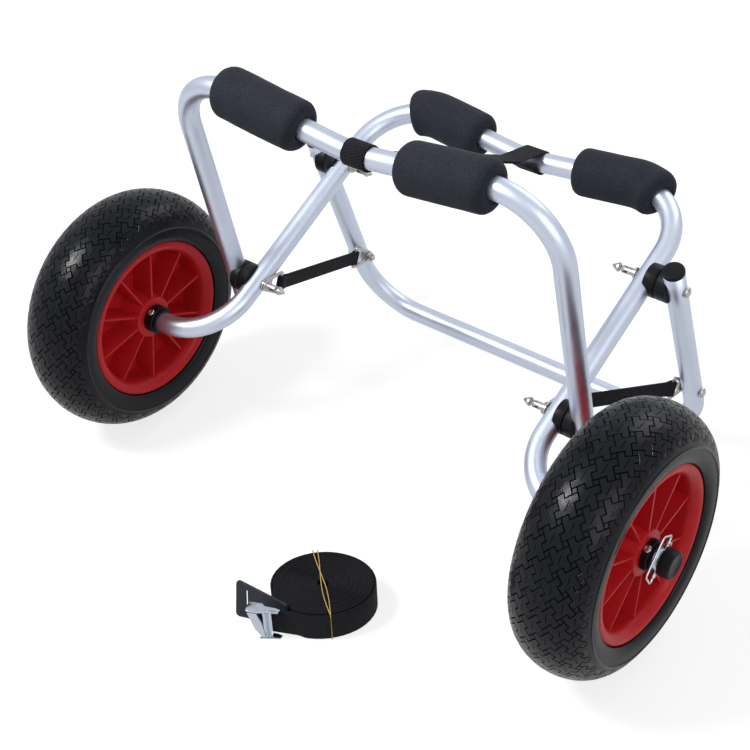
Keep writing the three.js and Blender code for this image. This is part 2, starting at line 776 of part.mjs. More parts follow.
// A collar keeps the wheel in its place along the axle; its lip faces away from the hub.
function makeCollar(side, start, way, length, name, word) {
  const bore = tubeRadius + collarFit;
  const body = collarDiameter / 2;
  const lip = collarLipDiameter / 2;
  const end = start + way * length;
  const step = end - way * collarLipLength;
  const profile = [
    [start, bore],
    [start, body],
    [step, body],
    [step, lip],
    [end, lip],
    [end, bore],
    [start, bore],
  ];
  const ring = turned(profile.map(([x, radius]) => [side * x, radius]));
  const screwX = side * ((start + step) / 2);
  const outwards = directionAt(collarScrewAngle);
  const centre = new THREE.Vector3(screwX, 0, 0);
  const holeTop = centre.clone().addScaledVector(outwards, body + cutOverrun);
  const hole = holeSpace(centre, holeTop, screwDiameter / 2 + collarFit);
  const collar = geometryOf(solidOf(ring).subtract(hole));
  addPiece(`${name}_${word}`, collar.translate(0, 0, axleCentre.z), finishes.blackPlastic);
  const headShare = 0.6;
  const profileOfScrew = [
    [0, 0],
    [0, screwDiameter / 2],
    [screwLength, screwDiameter / 2],
    [screwLength, screwHeadDiameter / 2],
    [screwLength + screwHeadHeight * headShare, screwHeadDiameter / 2],
    [screwLength + screwHeadHeight, (screwHeadDiameter / 2) * headShare],
    [screwLength + screwHeadHeight, 0],
  ];
  const screw = turned(profileOfScrew, wireSides);
  screw.applyQuaternion(new THREE.Quaternion().setFromUnitVectors(acrossCart, outwards));
  const seat = centre.addScaledVector(outwards, body + collarFit - screwLength).add(axleCentre);
  addPiece(`${name}_screw_${word}`, screw.translate(seat.x, seat.y, seat.z), finishes.zincSteel);
}

// The end cap is a cup over the tube's end; its plug is notched for the lock pin that crosses the tube.
function makeAxleEnd(side, word) {
  const start = axleEndX + collarFit;
  const outer = start + endCapThickness;
  const plug = tubeRadius - tubeWall - tubeWall;
  const plugEnd = start - endPlugLength;
  const cupBore = tubeRadius + collarFit;
  const cupMouth = lockPinX + lockPinDiameter / 2 + endCapPinRoom;
  const profile = [
    [plugEnd, 0],
    [plugEnd, plug],
    [start, plug],
    [start, cupBore],
    [cupMouth, cupBore],
    [cupMouth, endCapDiameter / 2],
    [outer - capRounding, endCapDiameter / 2],
    [outer, endCapDiameter / 2 - capRounding],
    [outer, 0],
  ];
  const cap = solidOf(turned(profile.map(([x, radius]) => [side * x, radius])));
  const from = new THREE.Vector3(side * lockPinX, 0, 0).addScaledVector(lockPinDirection, -tubeRadius);
  const to = new THREE.Vector3(side * lockPinX, 0, 0).addScaledVector(lockPinDirection, tubeRadius);
  const pinSpace = holeSpace(from, to, lockPinDiameter / 2 + pinFit);
  const notched = geometryOf(cap.subtract(pinSpace)).translate(0, 0, axleCentre.z);
  addPiece(`axle_end_cap_${word}`, notched, finishes.blackPlastic);
}

function makeLockPin(side, word) {
  const shaft = lockPinDiameter / 2;
  const head = lockPinHeadDiameter / 2;
  const profile = [
    [-lockPinReach, 0],
    [-lockPinReach, shaft],
    [lockPinReach - lockPinHeadLength, shaft],
    [lockPinReach - lockPinHeadLength, head],
    [lockPinReach, head],
    [lockPinReach, 0],
  ];
  const pin = turned(profile, wireSides);
  pin.applyQuaternion(new THREE.Quaternion().setFromUnitVectors(acrossCart, lockPinDirection));
  addPiece(`lock_pin_${word}`, pin.translate(side * lockPinX, 0, axleCentre.z), finishes.zincSteel);
  const bowWay = directionAt(lockPinAngle + 90);
  const centre = placeOn(axleCentre, side * lockPinX, acrossCart, 0);
  const at = (along, out) => {
    return centre.clone().addScaledVector(lockPinDirection, along).addScaledVector(bowWay, out);
  };
  const wireStart = lockPinReach + collarFit;
  const corners = [
    at(wireStart, 0),
    at(bailReach, 0),
    at(bailReach - bailBendRadius, bailBow),
    at(bailBendRadius - bailReach, bailBow),
    at(-bailReach, 0),
    at(-wireStart, 0),
  ];
  const route = new TubeRoute(
    corners,
    [bailWire, bailBendRadius, bailBendRadius, bailWire],
    acrossCart,
    bendSteps / 2,
  );
  addPiece(`wire_bail_${word}`, tubeAlong(route, bailWire / 2, wireSides, 0), finishes.chromeSteel);
}

// A doubled webbing strap with a sewn eye at each end; the eyes taper into the doubled part.
function strapBetween(from, to, widthWay, width, eyes, curveSteps) {
  const along = to.clone().sub(from);
  const length = along.length();
  along.normalize();
  const across = widthWay.clone().addScaledVector(along, -widthWay.dot(along)).normalize();
  const up = new THREE.Vector3().crossVectors(across, along);
  const taper = eyes.map(({ bar, reach }) => {
    const outer = bar + webbingThickness;
    const rise = Math.atan2(webbingThickness, reach);
    const slope = rise + Math.acos(outer / Math.hypot(reach, webbingThickness));
    return { outer, slope, bar };
  });
  const [near, far] = taper;
  const outline = new THREE.Shape();
  outline.absarc(0, 0, near.outer, near.slope, 2 * Math.PI - near.slope, false);
  outline.lineTo(eyes[0].reach, -webbingThickness);
  outline.lineTo(length - eyes[1].reach, -webbingThickness);
  outline.absarc(length, 0, far.outer, far.slope - Math.PI, Math.PI - far.slope, false);
  outline.lineTo(length - eyes[1].reach, webbingThickness);
  outline.lineTo(eyes[0].reach, webbingThickness);
  outline.closePath();
  const nearHole = new THREE.Path();
  nearHole.absarc(0, 0, near.bar, near.slope, 2 * Math.PI - near.slope, false);
  nearHole.lineTo(near.bar / Math.cos(near.slope), 0);
  nearHole.closePath();
  const farHole = new THREE.Path();
  farHole.absarc(length, 0, far.bar, far.slope - Math.PI, Math.PI - far.slope, false);
  farHole.lineTo(length - far.bar / Math.cos(far.slope), 0);
  farHole.closePath();
  outline.holes.push(nearHole, farHole);
  const through = new THREE.Vector3().crossVectors(along, up);
  const origin = from.clone().addScaledVector(through, -width / 2);
  return slab(outline, width, along, up, origin, curveSteps);
}

// The middle of a bent bar under a strap of some width: halfway between the places under its two edges.
function barUnderStrap(route, shift, width) {
  const centre = route.total / 2 + shift;
  const edge = route.at(centre - width / 2).point;
  return edge.add(route.at(centre + width / 2).point).multiplyScalar(0.5);
}

function makeTopStrap() {
  const frontBar = barUnderStrap(frontFrameRoute, topStrapFrontShift, topStrapWidth);
  const rearBar = barUnderStrap(axleFrameRoute, topStrapRearShift, topStrapWidth);
  const bar = tubeRadius + strapBarClearance;
  const eyes = [
    { bar, reach: bar + topStrapFrontEye },
    { bar, reach: bar + topStrapRearEye },
  ];
  const strap = strapBetween(frontBar, rearBar, acrossCart, topStrapWidth, eyes, topStrapEyeSteps);
  addPiece("top_strap", strap, finishes.blackWebbing);
}

// Lower straps hold the stand to the axle frame's legs
const strapRun = standBolt.clone().sub(frontPivot).normalize();
const strapUp = new THREE.Vector3().crossVectors(acrossCart, strapRun);
const frontBracketX = axleLegX - tubeRadius - pinLegClearance - bracketThickness;
const rearBracketX = standLegX - tubeRadius - pinLegClearance - bracketThickness;

// A triangular plate: an ear round its pin, and a bar across the wide end for the webbing.
function bracketOutline(holeRadius) {
  const halfWidth = bracketWidth / 2;
  const barEnd = bracketLength + bracketRim / 2;
  const corner = bracketCornerRadius;
  const sideSlope = Math.atan2(halfWidth - bracketEarRadius, bracketLength);
  const outline = new THREE.Shape();
  outline.absarc(0, 0, bracketEarRadius, Math.PI / 2 + sideSlope, (3 * Math.PI) / 2 - sideSlope, false);
  outline.absarc(barEnd - corner, -halfWidth + corner, corner, -Math.PI / 2 - sideSlope, 0, false);
  outline.absarc(barEnd - corner, halfWidth - corner, corner, 0, Math.PI / 2 + sideSlope, false);
  outline.closePath();
  const hole = new THREE.Path();
  hole.absarc(0, 0, holeRadius, 0, 2 * Math.PI, true);
  outline.holes.push(hole);
  const slotStart = bracketEarRadius + bracketRim / 2;
  const slotEnd = bracketLength - bracketRim / 2;
  const flare = (halfWidth - bracketEarRadius) / bracketLength;
  const halfAt = (distance) => bracketEarRadius + flare * distance;
  const slot = new THREE.Path();
  slot.moveTo(slotStart, halfAt(slotStart) - bracketRim);
  slot.lineTo(slotEnd, halfAt(slotEnd) - bracketRim / 2);
  slot.lineTo(slotEnd, bracketRim / 2 - halfAt(slotEnd));
  slot.lineTo(slotStart, bracketRim - halfAt(slotStart));
  slot.closePath();
  outline.holes.push(slot);
  return outline;
}

function makeLowerStraps() {
  for (const { side, word } of sides) {
    const frontX = side > 0 ? frontBracketX : -frontBracketX - bracketThickness;
    const rearX = side > 0 ? rearBracketX : -rearBracketX - bracketThickness;
    const frontOrigin = placeOn(frontPivot, frontX, acrossCart, 0);
    const frontShape = bracketOutline(pinHoleRadius);
    const front = slab(frontShape, bracketThickness, strapRun, strapUp, frontOrigin, bracketSteps);
    addPiece(`front_strap_bracket_${word}`, front, finishes.zincSteel);
    const backwards = strapRun.clone().negate();
    const downwards = strapUp.clone().negate();
    const rearOrigin = placeOn(standBolt, rearX, acrossCart, 0);
    const rearShape = bracketOutline(boltDiameter / 2 + pinFit);
    const rear = slab(rearShape, bracketThickness, backwards, downwards, rearOrigin, bracketSteps);
    addPiece(`rear_strap_bracket_${word}`, rear, finishes.zincSteel);
    const frontMiddleX = side * (frontBracketX + bracketThickness / 2);
    const rearMiddleX = side * (rearBracketX + bracketThickness / 2);
    const from = placeOn(frontPivot, frontMiddleX, strapRun, bracketLength);
    const to = placeOn(standBolt, rearMiddleX, strapRun, -bracketLength);
    const bar = Math.hypot(bracketRim, bracketThickness) / 2 + bracketBarClearance;
    const eyes = [
      { bar, reach: bar + lowerStrapEye },
      { bar, reach: bar + lowerStrapEye },
    ];
    const strap = strapBetween(from, to, strapUp, lowerStrapWidth, eyes, lowerStrapEyeSteps);
    addPiece(`lower_strap_${word}`, strap, finishes.blackWebbing);
  }
}

// A bolt through each stand leg carries the rear bracket
function makeStandFasteners() {
  for (const { side, word } of sides) {
    const headStart = standLegX + tubeRadius + pinLegClearance;
    const nutStart = rearBracketX - pinLegClearance;
    const shaft = boltDiameter / 2;
    const head = boltHeadDiameter / 2;
    const domeShare = 0.7;
    const profile = [
      [headStart + boltHeadHeight, 0],
      [headStart + boltHeadHeight * domeShare, head * domeShare],
      [headStart, head],
      [headStart, shaft],
      [nutStart - nutThickness - boltEnd, shaft],
      [nutStart - nutThickness - boltEnd, 0],
    ];
    const bolt = turned(profile.map(([x, radius]) => [side * x, radius]));
    addPiece(`stand_bolt_${word}`, bolt.translate(0, standBolt.y, standBolt.z), finishes.zincSteel);
    const nutOutline = new THREE.Shape(ringOfPoints(nutWidth / Math.sqrt(3), 6));
    nutOutline.holes.push(new THREE.Path(ringOfPoints(shaft + pinFit, turnedSteps).reverse()));
    const nutX = side > 0 ? nutStart - nutThickness : -nutStart;
    const nutOrigin = placeOn(standBolt, nutX, acrossCart, 0);
    const nut = slab(nutOutline, nutThickness, directionAt(0), directionAt(90), nutOrigin);
    addPiece(`stand_nut_${word}`, nut, finishes.zincSteel);
    const capStart = standTail + pinLegClearance;
    const plug = tubeRadius - tubeWall - tubeWall;
    const plugDepth = endPlugLength / 2;
    const capProfile = [
      [-plugDepth, 0],
      [-plugDepth, plug],
      [0, plug],
      [0, tubeRadius],
      [standCapThickness - capRounding, tubeRadius],
      [standCapThickness, tubeRadius - capRounding],
      [standCapThickness, 0],
    ];
    const cap = turned(capProfile);
    const upwards = standDown.clone().negate();
    cap.applyQuaternion(new THREE.Quaternion().setFromUnitVectors(acrossCart, upwards));
    const place = placeOn(standPivot, side * standLegX, upwards, capStart);
    addPiece(`stand_cap_${word}`, cap.translate(place.x, place.y, place.z), finishes.blackPlastic);
  }
}

// Rolled strap: one unbroken ribbon that spirals out and leaves the roll as a straight tail to the buckle
const tailWay = new THREE.Vector2(Math.cos(radians(tailAngle)), Math.sin(radians(tailAngle)));
const tailSide = new THREE.Vector2(tailWay.y, -tailWay.x).negate();
const rollCentre = new THREE.Vector2(rollCentreX, rollCentreY);
const ribbonRadius = rollDiameter / 2 - rollWebbingThickness / 2;
const rollPitch = (ribbonRadius - rollCoreDiameter / 2) / rollLoops;

// The roll is pressed oval. This presses a place, given from the roll's middle, along the roll's short way.
function pressed(place) {
  const short = new THREE.Vector2(Math.cos(radians(rollDepthAngle)), Math.sin(radians(rollDepthAngle)));
  return place.clone().addScaledVector(short, (rollDepthShare - 1) * place.dot(short));
}

// The angle, before pressing, of the place where the pressed roll faces in some direction
function facingAngle(outwards) {
  const place = pressed(outwards);
  return Math.atan2(place.y, place.x);
}

// The ribbon's centre line at a number of turns from the core. The last turn is slightly loose and ends where
// the roll has the tail's direction.
function rollPlace(turns) {
  const loose = Math.max(turns - (rollLoops - rollLooseLoops), 0) / rollLooseLoops;
  const radius = rollCoreDiameter / 2 + rollPitch * turns + rollLooseGap * loose ** 2;
  const angle = facingAngle(tailSide) - (rollLoops - turns) * 2 * Math.PI * rollTurn;
  return pressed(new THREE.Vector2(radius * Math.cos(angle), radius * Math.sin(angle))).add(rollCentre);
}

// The spiral's sense of turning, in which it runs on into the tail
const rollTurn = Math.sign(tailSide.x * tailWay.y - tailSide.y * tailWay.x);

function makeStrapRoll() {
  const count = rollLoops * rollStepsPerLoop;
  const half = rollWebbingThickness / 2;
  const line = [];
  for (let i = 0; i <= count; i++) line.push({ point: rollPlace(i / rollStepsPerLoop), rise: 0 });
  const tail = line[count].point;
  line.push({ point: tail.clone().addScaledVector(tailWay, tailLead), rise: tailRise });
  line.push({ point: tail.clone().addScaledVector(tailWay, tailLength), rise: tailRise });
  const outer = [];
  const inner = [];
  const sections = line.map(({ point, rise }, i) => {
    const before = line[Math.max(i - 1, 0)].point;
    const after = line[Math.min(i + 1, line.length - 1)].point;
    const heading = after.clone().sub(before).normalize();
    const outwards = new THREE.Vector2(heading.y, -heading.x).multiplyScalar(rollTurn);
    const outerPoint = point.clone().addScaledVector(outwards, half);
    const innerPoint = point.clone().addScaledVector(outwards, -half);
    outer.push(outerPoint);
    inner.push(innerPoint);
    return [
      new THREE.Vector3(outerPoint.x, outerPoint.y, rise),
      new THREE.Vector3(innerPoint.x, innerPoint.y, rise),
      new THREE.Vector3(innerPoint.x, innerPoint.y, rise + rollWebbingWidth),
      new THREE.Vector3(outerPoint.x, outerPoint.y, rise + rollWebbingWidth),
    ];
  });
  printLeastGap(outer, inner);
  const grooveLength = rollDiameter + rollWebbingWidth;
  const groove = new THREE.BoxGeometry(grooveLength, tieGrooveWidth, tieGrooveDepth + cutOverrun);
  groove.translate(0, 0, (tieGrooveDepth - cutOverrun) / 2);
  groove.rotateZ(radians(tieAngle)).translate(rollCentre.x, rollCentre.y, 0);
  const roll = solidOf(stripThrough(sections)).subtract(solidOf(groove));
  addPiece("strap_roll", geometryOf(roll), finishes.blackWebbing);
}

// A closed strip through cross-sections that all have the same number of corners.
function stripThrough(sections) {
  const width = sections[0].length;
  const corners = [];
  for (let i = 0; i < sections.length - 1; i++) {
    for (let j = 0; j < width; j++) {
      const here = i * width + j;
      const beside = i * width + ((j + 1) % width);
      corners.push(here, beside, here + width);
      corners.push(beside, beside + width, here + width);
    }
  }
  const last = (sections.length - 1) * width;
  for (let j = 1; j < width - 1; j++) {
    corners.push(0, j + 1, j);
    corners.push(last, last + j, last + j + 1);
  }
  return closed(new THREE.BufferGeometry().setFromPoints(sections.flat()).setIndex(corners));
}

// Prints the least gap between one loop's outer face and the next loop's inner face, measured on points.
function printLeastGap(outer, inner) {
  let least = Infinity;
  const place = new THREE.Vector3();
  for (let i = 0; i + rollStepsPerLoop < outer.length - 1; i++) {
    const point = new THREE.Vector3(outer[i].x, outer[i].y, 0);
    for (let j = i + rollStepsPerLoop - 2; j < Math.min(i + rollStepsPerLoop + 2, inner.length - 1); j++) {
      const edge = new THREE.Line3(
        new THREE.Vector3(inner[j].x, inner[j].y, 0),
        new THREE.Vector3(inner[j + 1].x, inner[j + 1].y, 0),
      );
      least = Math.min(least, edge.closestPointToPoint(point, true, place).distanceTo(point));
    }
  }
  console.log(`strap roll: least gap to itself ${least.toFixed(2)} mm`);
}

// How long a unit step in some level direction was before the roll was pressed
function unpressedLength(direction) {
  const short = Math.cos(Math.atan2(direction.y, direction.x) - radians(rollDepthAngle));
  return Math.sqrt(1 - short ** 2 + (short / rollDepthShare) ** 2);
}

// A gold elastic loop holds the roll; below, it lies in the nip it makes in the webbing.
function makeTieBand() {
  const along = new THREE.Vector3(Math.cos(radians(tieAngle)), Math.sin(radians(tieAngle)), 0);
  const half = rollDiameter / 2 / unpressedLength(along) + tieClearance;
  const tailRoom = rollWebbingThickness + rollLooseGap;
  const low = tieGrooveDepth - tieClearance;
  const high = rollWebbingWidth + tieClearance;
  const outline = new THREE.Shape();
  outline.moveTo(-half - tieThickness, low - tieThickness);
  outline.lineTo(half + tailRoom + tieThickness, low - tieThickness);
  outline.lineTo(half + tailRoom + tieThickness, high + tieThickness);
  outline.lineTo(-half - tieThickness, high + tieThickness);
  outline.closePath();
  const hole = new THREE.Path();
  hole.moveTo(-half, low);
  hole.lineTo(-half, high);
  hole.lineTo(half + tailRoom, high);
  hole.lineTo(half + tailRoom, low);
  hole.closePath();
  outline.holes.push(hole);
  const up = new THREE.Vector3(0, 0, 1);
  const through = new THREE.Vector3().crossVectors(along, up);
  const origin = new THREE.Vector3(rollCentreX, rollCentreY, 0).addScaledVector(through, -tieWidth / 2);
  addPiece("strap_tie_band", slab(outline, tieWidth, along, up, origin), finishes.goldElastic);
}

// Cam buckle, on its side on the strap's tail. Its own axes: along the tail, out from the roll, and up.
const tailStart = new THREE.Vector3(rollPlace(rollLoops).x, rollPlace(rollLoops).y, 0);
const buckleAlong = new THREE.Vector3(tailWay.x, tailWay.y, 0);
const buckleOut = new THREE.Vector3(tailSide.x, tailSide.y, 0);
const upright = new THREE.Vector3(0, 0, 1);

function buckleAt(along, out, up) {
  return tailStart
    .clone()
    .addScaledVector(buckleAlong, along)
    .addScaledVector(buckleOut, out)
    .addScaledVector(upright, up);
}

const buckleStart = tailLength - buckleLength + buckleSetback;
const buckleBack = -rollWebbingThickness / 2 - buckleClearance - bucklePlate;
const leverAxleAlong = buckleStart + buckleLength * leverAxleShare;
const leverAxleOut = rollWebbingThickness / 2 + buckleClearance + leverBarrelDiameter / 2;

function makeBuckleFrame() {
  const channel = new THREE.Shape();
  const front = buckleBack + buckleDepth;
  channel.moveTo(buckleBack, 0);
  channel.lineTo(front, 0);
  channel.lineTo(front, bucklePlate);
  channel.lineTo(buckleBack + bucklePlate, bucklePlate);
  channel.lineTo(buckleBack + bucklePlate, buckleHeight - bucklePlate);
  channel.lineTo(front, buckleHeight - bucklePlate);
  channel.lineTo(front, buckleHeight);
  channel.lineTo(buckleBack, buckleHeight);
  channel.closePath();
  const plates = slab(channel, buckleLength, buckleOut, upright, buckleAt(buckleEnd(), 0, buckleLift));
  const from = buckleAt(leverAxleAlong, leverAxleOut, -cutOverrun);
  const to = buckleAt(leverAxleAlong, leverAxleOut, buckleHeight + cutOverrun + buckleLift);
  const hole = holeSpace(from, to, leverAxleDiameter / 2 + pinFit, turnedSteps);
  addPiece("buckle_frame", geometryOf(solidOf(plates).subtract(hole)), finishes.chromeSteel);
}

// The end of the channel from which its extrusion runs: out x up points along or against the tail.
function buckleEnd() {
  const through = new THREE.Vector3().crossVectors(buckleOut, upright);
  return through.dot(buckleAlong) > 0 ? buckleStart : buckleStart + buckleLength;
}

// The lever: a cam barrel on its axle, with a thumb plate in the channel's mouth that points from the roll
function makeBuckleLever() {
  const low = bucklePlate + leverSideClearance + buckleLift;
  const high = buckleHeight - bucklePlate - leverSideClearance + buckleLift;
  const axle = roundBar(
    buckleAt(leverAxleAlong, leverAxleOut, buckleLift),
    buckleAt(leverAxleAlong, leverAxleOut, buckleHeight + buckleLift),
    leverAxleDiameter / 2,
  );
  const barrel = roundBar(
    buckleAt(leverAxleAlong, leverAxleOut, low),
    buckleAt(leverAxleAlong, leverAxleOut, high),
    leverBarrelDiameter / 2,
  );
  const plate = new THREE.Shape();
  const face = leverAxleOut + leverBarrelDiameter / 2;
  plate.moveTo(leverAxleAlong, face - leverThickness);
  plate.lineTo(leverAxleAlong + leverLength, face - leverThickness);
  plate.lineTo(leverAxleAlong + leverLength, face);
  plate.lineTo(leverAxleAlong, face);
  plate.closePath();
  const through = new THREE.Vector3().crossVectors(buckleAlong, buckleOut);
  const origin = through.z > 0 ? buckleAt(0, 0, low) : buckleAt(0, 0, high);
  const thumb = slab(plate, high - low, buckleAlong, buckleOut, origin);
  const lever = solidOf(axle).add(solidOf(barrel)).add(solidOf(thumb));
  addPiece("buckle_lever", geometryOf(lever), finishes.chromeSteel);
}

// A smooth flap behind the buckle, with a slot near its free end. It leaves the roll at a tangent.
const flapWay = new THREE.Vector2(Math.cos(radians(flapAngle)), Math.sin(radians(flapAngle)));
const flapSide = new THREE.Vector2(-flapWay.y, flapWay.x);

function makeBuckleFlap() {
  const outline = new THREE.Shape();
  const round = flapRounding;
  outline.moveTo(0, 0);
  outline.lineTo(flapLength - round, 0);
  outline.absarc(flapLength - round, round, round, -Math.PI / 2, 0, false);
  outline.absarc(flapLength - round, flapHeight - round, round, 0, Math.PI / 2, false);
  outline.lineTo(0, flapHeight);
  outline.closePath();
  const slot = new THREE.Path();
  const slotFar = flapLength - flapSlotInset;
  const slotLow = (flapHeight - flapSlotHeight) / 2;
  slot.moveTo(slotFar, slotLow);
  slot.lineTo(slotFar - flapSlotWidth, slotLow);
  slot.lineTo(slotFar - flapSlotWidth, flapHeight - slotLow);
  slot.lineTo(slotFar, flapHeight - slotLow);
  slot.closePath();
  outline.holes.push(slot);
  const along = new THREE.Vector3(flapWay.x, flapWay.y, 0);
  const side = new THREE.Vector3(flapSide.x, flapSide.y, 0);
  const turnShare = ((facingAngle(flapSide) - facingAngle(tailSide)) * rollTurn) / (2 * Math.PI);
  const touch = rollPlace(rollLoops - 1 + ((turnShare + 1) % 1));
  const origin = new THREE.Vector3(touch.x, touch.y, buckleLift)
    .addScaledVector(side, rollWebbingThickness / 2 + flapRollGap + flapThickness)
    .addScaledVector(along, -flapTuck);
  addPiece("buckle_flap", slab(outline, flapThickness, along, upright, origin, 3), finishes.blackPlastic);
}

makeAxleFrameTube();
makeFrontFrameTube();
makeStandTube();
makePads(axleFrameRoute, "rear");
makePads(frontFrameRoute, "front");
makeSaddles(frontPivot, frontLegX, frontLegGap, frontFrameUp, "front_pivot");
makeSaddles(standPivot, standLegX, standLegGap, standDown, "stand_pivot");
makePivotPin(frontPivot, axleLegX, frontLegX, bracketThickness + pinLegClearance, "front_pivot");
makePivotPin(standPivot, axleLegX, standLegX, 0, "stand_pivot");
for (const { side, word } of sides) {
  makeTyre(side, word);
  makeRim(side, word);
  const innerStart = hubInnerX - collarFit;
  const outerStart = hubOuterX + collarFit;
  makeCollar(side, innerStart, left, innerCollarLength, "inner_collar", word);
  makeCollar(side, outerStart, right, outerCollarLength, "outer_collar", word);
  makeAxleEnd(side, word);
  makeLockPin(side, word);
}
makeTopStrap();
makeLowerStraps();
makeStandFasteners();
makeStrapRoll();
makeTieBand();
makeBuckleFrame();
makeBuckleLever();
makeBuckleFlap();

// The origin is the middle of the cart's box, on the ground.
const extent = new THREE.Box3().setFromObject(cart);
const middle = extent.getCenter(new THREE.Vector3());
cart.position.set(-middle.x, -middle.y, -extent.min.z);

export default cart;
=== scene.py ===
"""A folding kayak cart in its real finishes: satin tubes, foam sleeves, treaded wheels, webbing straps."""

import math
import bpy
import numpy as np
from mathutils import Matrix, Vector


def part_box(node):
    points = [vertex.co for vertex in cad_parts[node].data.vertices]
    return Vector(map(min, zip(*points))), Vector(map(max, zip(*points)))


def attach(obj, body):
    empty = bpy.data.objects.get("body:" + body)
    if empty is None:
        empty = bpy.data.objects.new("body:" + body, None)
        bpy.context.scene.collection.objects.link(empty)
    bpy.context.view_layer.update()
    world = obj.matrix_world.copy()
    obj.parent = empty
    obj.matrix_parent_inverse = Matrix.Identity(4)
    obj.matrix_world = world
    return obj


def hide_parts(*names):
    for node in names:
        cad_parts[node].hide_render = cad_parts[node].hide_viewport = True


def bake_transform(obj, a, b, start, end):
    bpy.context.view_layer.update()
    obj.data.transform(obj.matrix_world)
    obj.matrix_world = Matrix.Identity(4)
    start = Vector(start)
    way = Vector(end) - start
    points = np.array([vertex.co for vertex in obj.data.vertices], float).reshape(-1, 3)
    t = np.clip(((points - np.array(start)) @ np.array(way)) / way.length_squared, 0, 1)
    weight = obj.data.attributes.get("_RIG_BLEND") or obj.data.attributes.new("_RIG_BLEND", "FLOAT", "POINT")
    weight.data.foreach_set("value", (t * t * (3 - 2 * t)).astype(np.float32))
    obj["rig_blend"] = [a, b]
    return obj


bl_info = {
    "name": "Kayak Cart",
    "version": (1, 0, 0),
    "blender": (4, 5, 0),
    "location": "3D View > Sidebar > Kayak Cart",
    "description": "Builds a folding kayak cart with its wheels, foam sleeves, straps and cam buckle",
    "category": "Object",
}

import bmesh
import bpy
from bpy.props import FloatProperty, FloatVectorProperty, IntProperty, PointerProperty
from bpy.types import Operator, Panel, PropertyGroup
from mathutils import Matrix, Vector, noise

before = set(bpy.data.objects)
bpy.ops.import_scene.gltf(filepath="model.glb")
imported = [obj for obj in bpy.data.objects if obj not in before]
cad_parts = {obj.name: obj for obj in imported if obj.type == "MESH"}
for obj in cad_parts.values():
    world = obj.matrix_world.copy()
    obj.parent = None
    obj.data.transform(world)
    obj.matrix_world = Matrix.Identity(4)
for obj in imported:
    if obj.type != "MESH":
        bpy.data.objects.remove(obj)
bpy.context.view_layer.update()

SIDES = (("left", -1), ("right", 1))
ACROSS = Vector((1, 0, 0))
UP = Vector((0, 0, 1))


def middle_of(node):
    low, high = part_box(node)
    return (low + high) / 2


def in_plane(point):
    """The point's place in the plane square to the axle."""
    return Vector((0, point.y, point.z))


def direction_at(degrees):
    angle = math.radians(degrees)
    return Vector((0, math.cos(angle), math.sin(angle)))


# Places that the solids give
AXLE = in_plane(middle_of("rim_right"))
WHEEL_X = middle_of("rim_right").x
FRONT_PIVOT = in_plane(middle_of("front_pivot_pin_nose_right"))
STAND_PIVOT = in_plane(middle_of("stand_pivot_pin_nose_right"))
STAND_BOLT = in_plane(middle_of("stand_nut_right"))
AXLE_FRAME_UP = (STAND_PIVOT - AXLE).normalized()
FRONT_FRAME_UP = direction_at(101.6)
STAND_DOWN = (STAND_BOLT - STAND_PIVOT).normalized()

# Bent tubes, in metres
TUBE_RADIUS = 0.01025
BEND_RADIUS = 0.0615
KINK_RADIUS = 0.150
AXLE_LEG_X = 0.1837
FRONT_LEG_X = 0.2108
STAND_LEG_X = 0.2150
AXLE_END_X = 0.346
AXLE_FRAME_REACH = 0.342
AXLE_FRAME_DIP = 0.0222
FRONT_FRAME_TAIL = 0.025
FRONT_FRAME_LENGTH = 0.2632
FRONT_FRAME_DIP = 0.0306
STAND_TAIL = 0.022
STAND_LENGTH = (STAND_PIVOT.z - TUBE_RADIUS) / -STAND_DOWN.z
PAD_START = 0.057
PART_GAP = 0.0003

# Wheels
TYRE_RADIUS = 0.127
TYRE_HALF_WIDTH = 0.040
TYRE_WIDEST_RADIUS = 0.097
BEAD_HALF_WIDTH = 0.036
FLANGE_RADIUS = 0.084
SEAT_RADIUS = 0.0745
SIDEWALL_RIDGE_RADIUS = 0.1005
RIM_FACE = 0.036
HUB_HALF_LENGTH = 0.030
LOCK_PIN_X = 0.338

# Tread: rows of stepped diamonds, each row half a row over the next
TREAD_END = 0.048
TREAD_RUN_OUT = 0.011
TREAD_ROW = 0.0236
TREAD_ROWS_EACH_WAY = 4
BLOCK_STEP = 0.13
KEY_REACH = 0.26
SIPE_HALF_LENGTH = 0.005
SIPE_HALF_WIDTH = 0.0004
SIPE_ROOM = 0.0055

# Drop-nose pins
NOSE_PIVOT_X = 0.159

# Webbing
WEBBING_THICKNESS = 0.0013
TOP_STRAP_WIDTH = 0.025
LOWER_STRAP_WIDTH = 0.015
BRACKET_LENGTH = 0.023
BRACKET_ROOM = 0.0013
BRACKET_BAR_RADIUS = 0.0026
LOWER_RUN = (STAND_BOLT - FRONT_PIVOT).normalized()


def level_direction(degrees):
    angle = math.radians(degrees)
    return Vector((math.cos(angle), math.sin(angle), 0))


# The strap roll beside the cart; the roll is pressed oval along ROLL_SHORT_WAY
ROLL_CENTRE = Vector((0.0582, AXLE.y - 0.1185, 0))
ROLL_RADIUS = 0.0505
ROLL_SHORT_WAY = level_direction(-53)
ROLL_DEPTH_SHARE = 0.83
ROLL_HEIGHT = 0.030
ROLL_CORE_RADIUS = 0.006
ROLL_THICKNESS = 0.0017
ROLL_LOOSE_LOOPS = 0.4
ROLL_LOOSE_GAP = 0.003
TAIL_WAY = level_direction(205)
TAIL_SIDE = Vector((-TAIL_WAY.y, TAIL_WAY.x, 0))
TIE_WAY = level_direction(-40)
FLAP_WAY = level_direction(182)

# The cam buckle, by distances along the tail, out from it and up from its foot
BUCKLE_START = 0.022
BUCKLE_HEIGHT = 0.034
BUCKLE_LIFT = 0.0003
LEVER_AXLE = (0.0128, 0.00525)


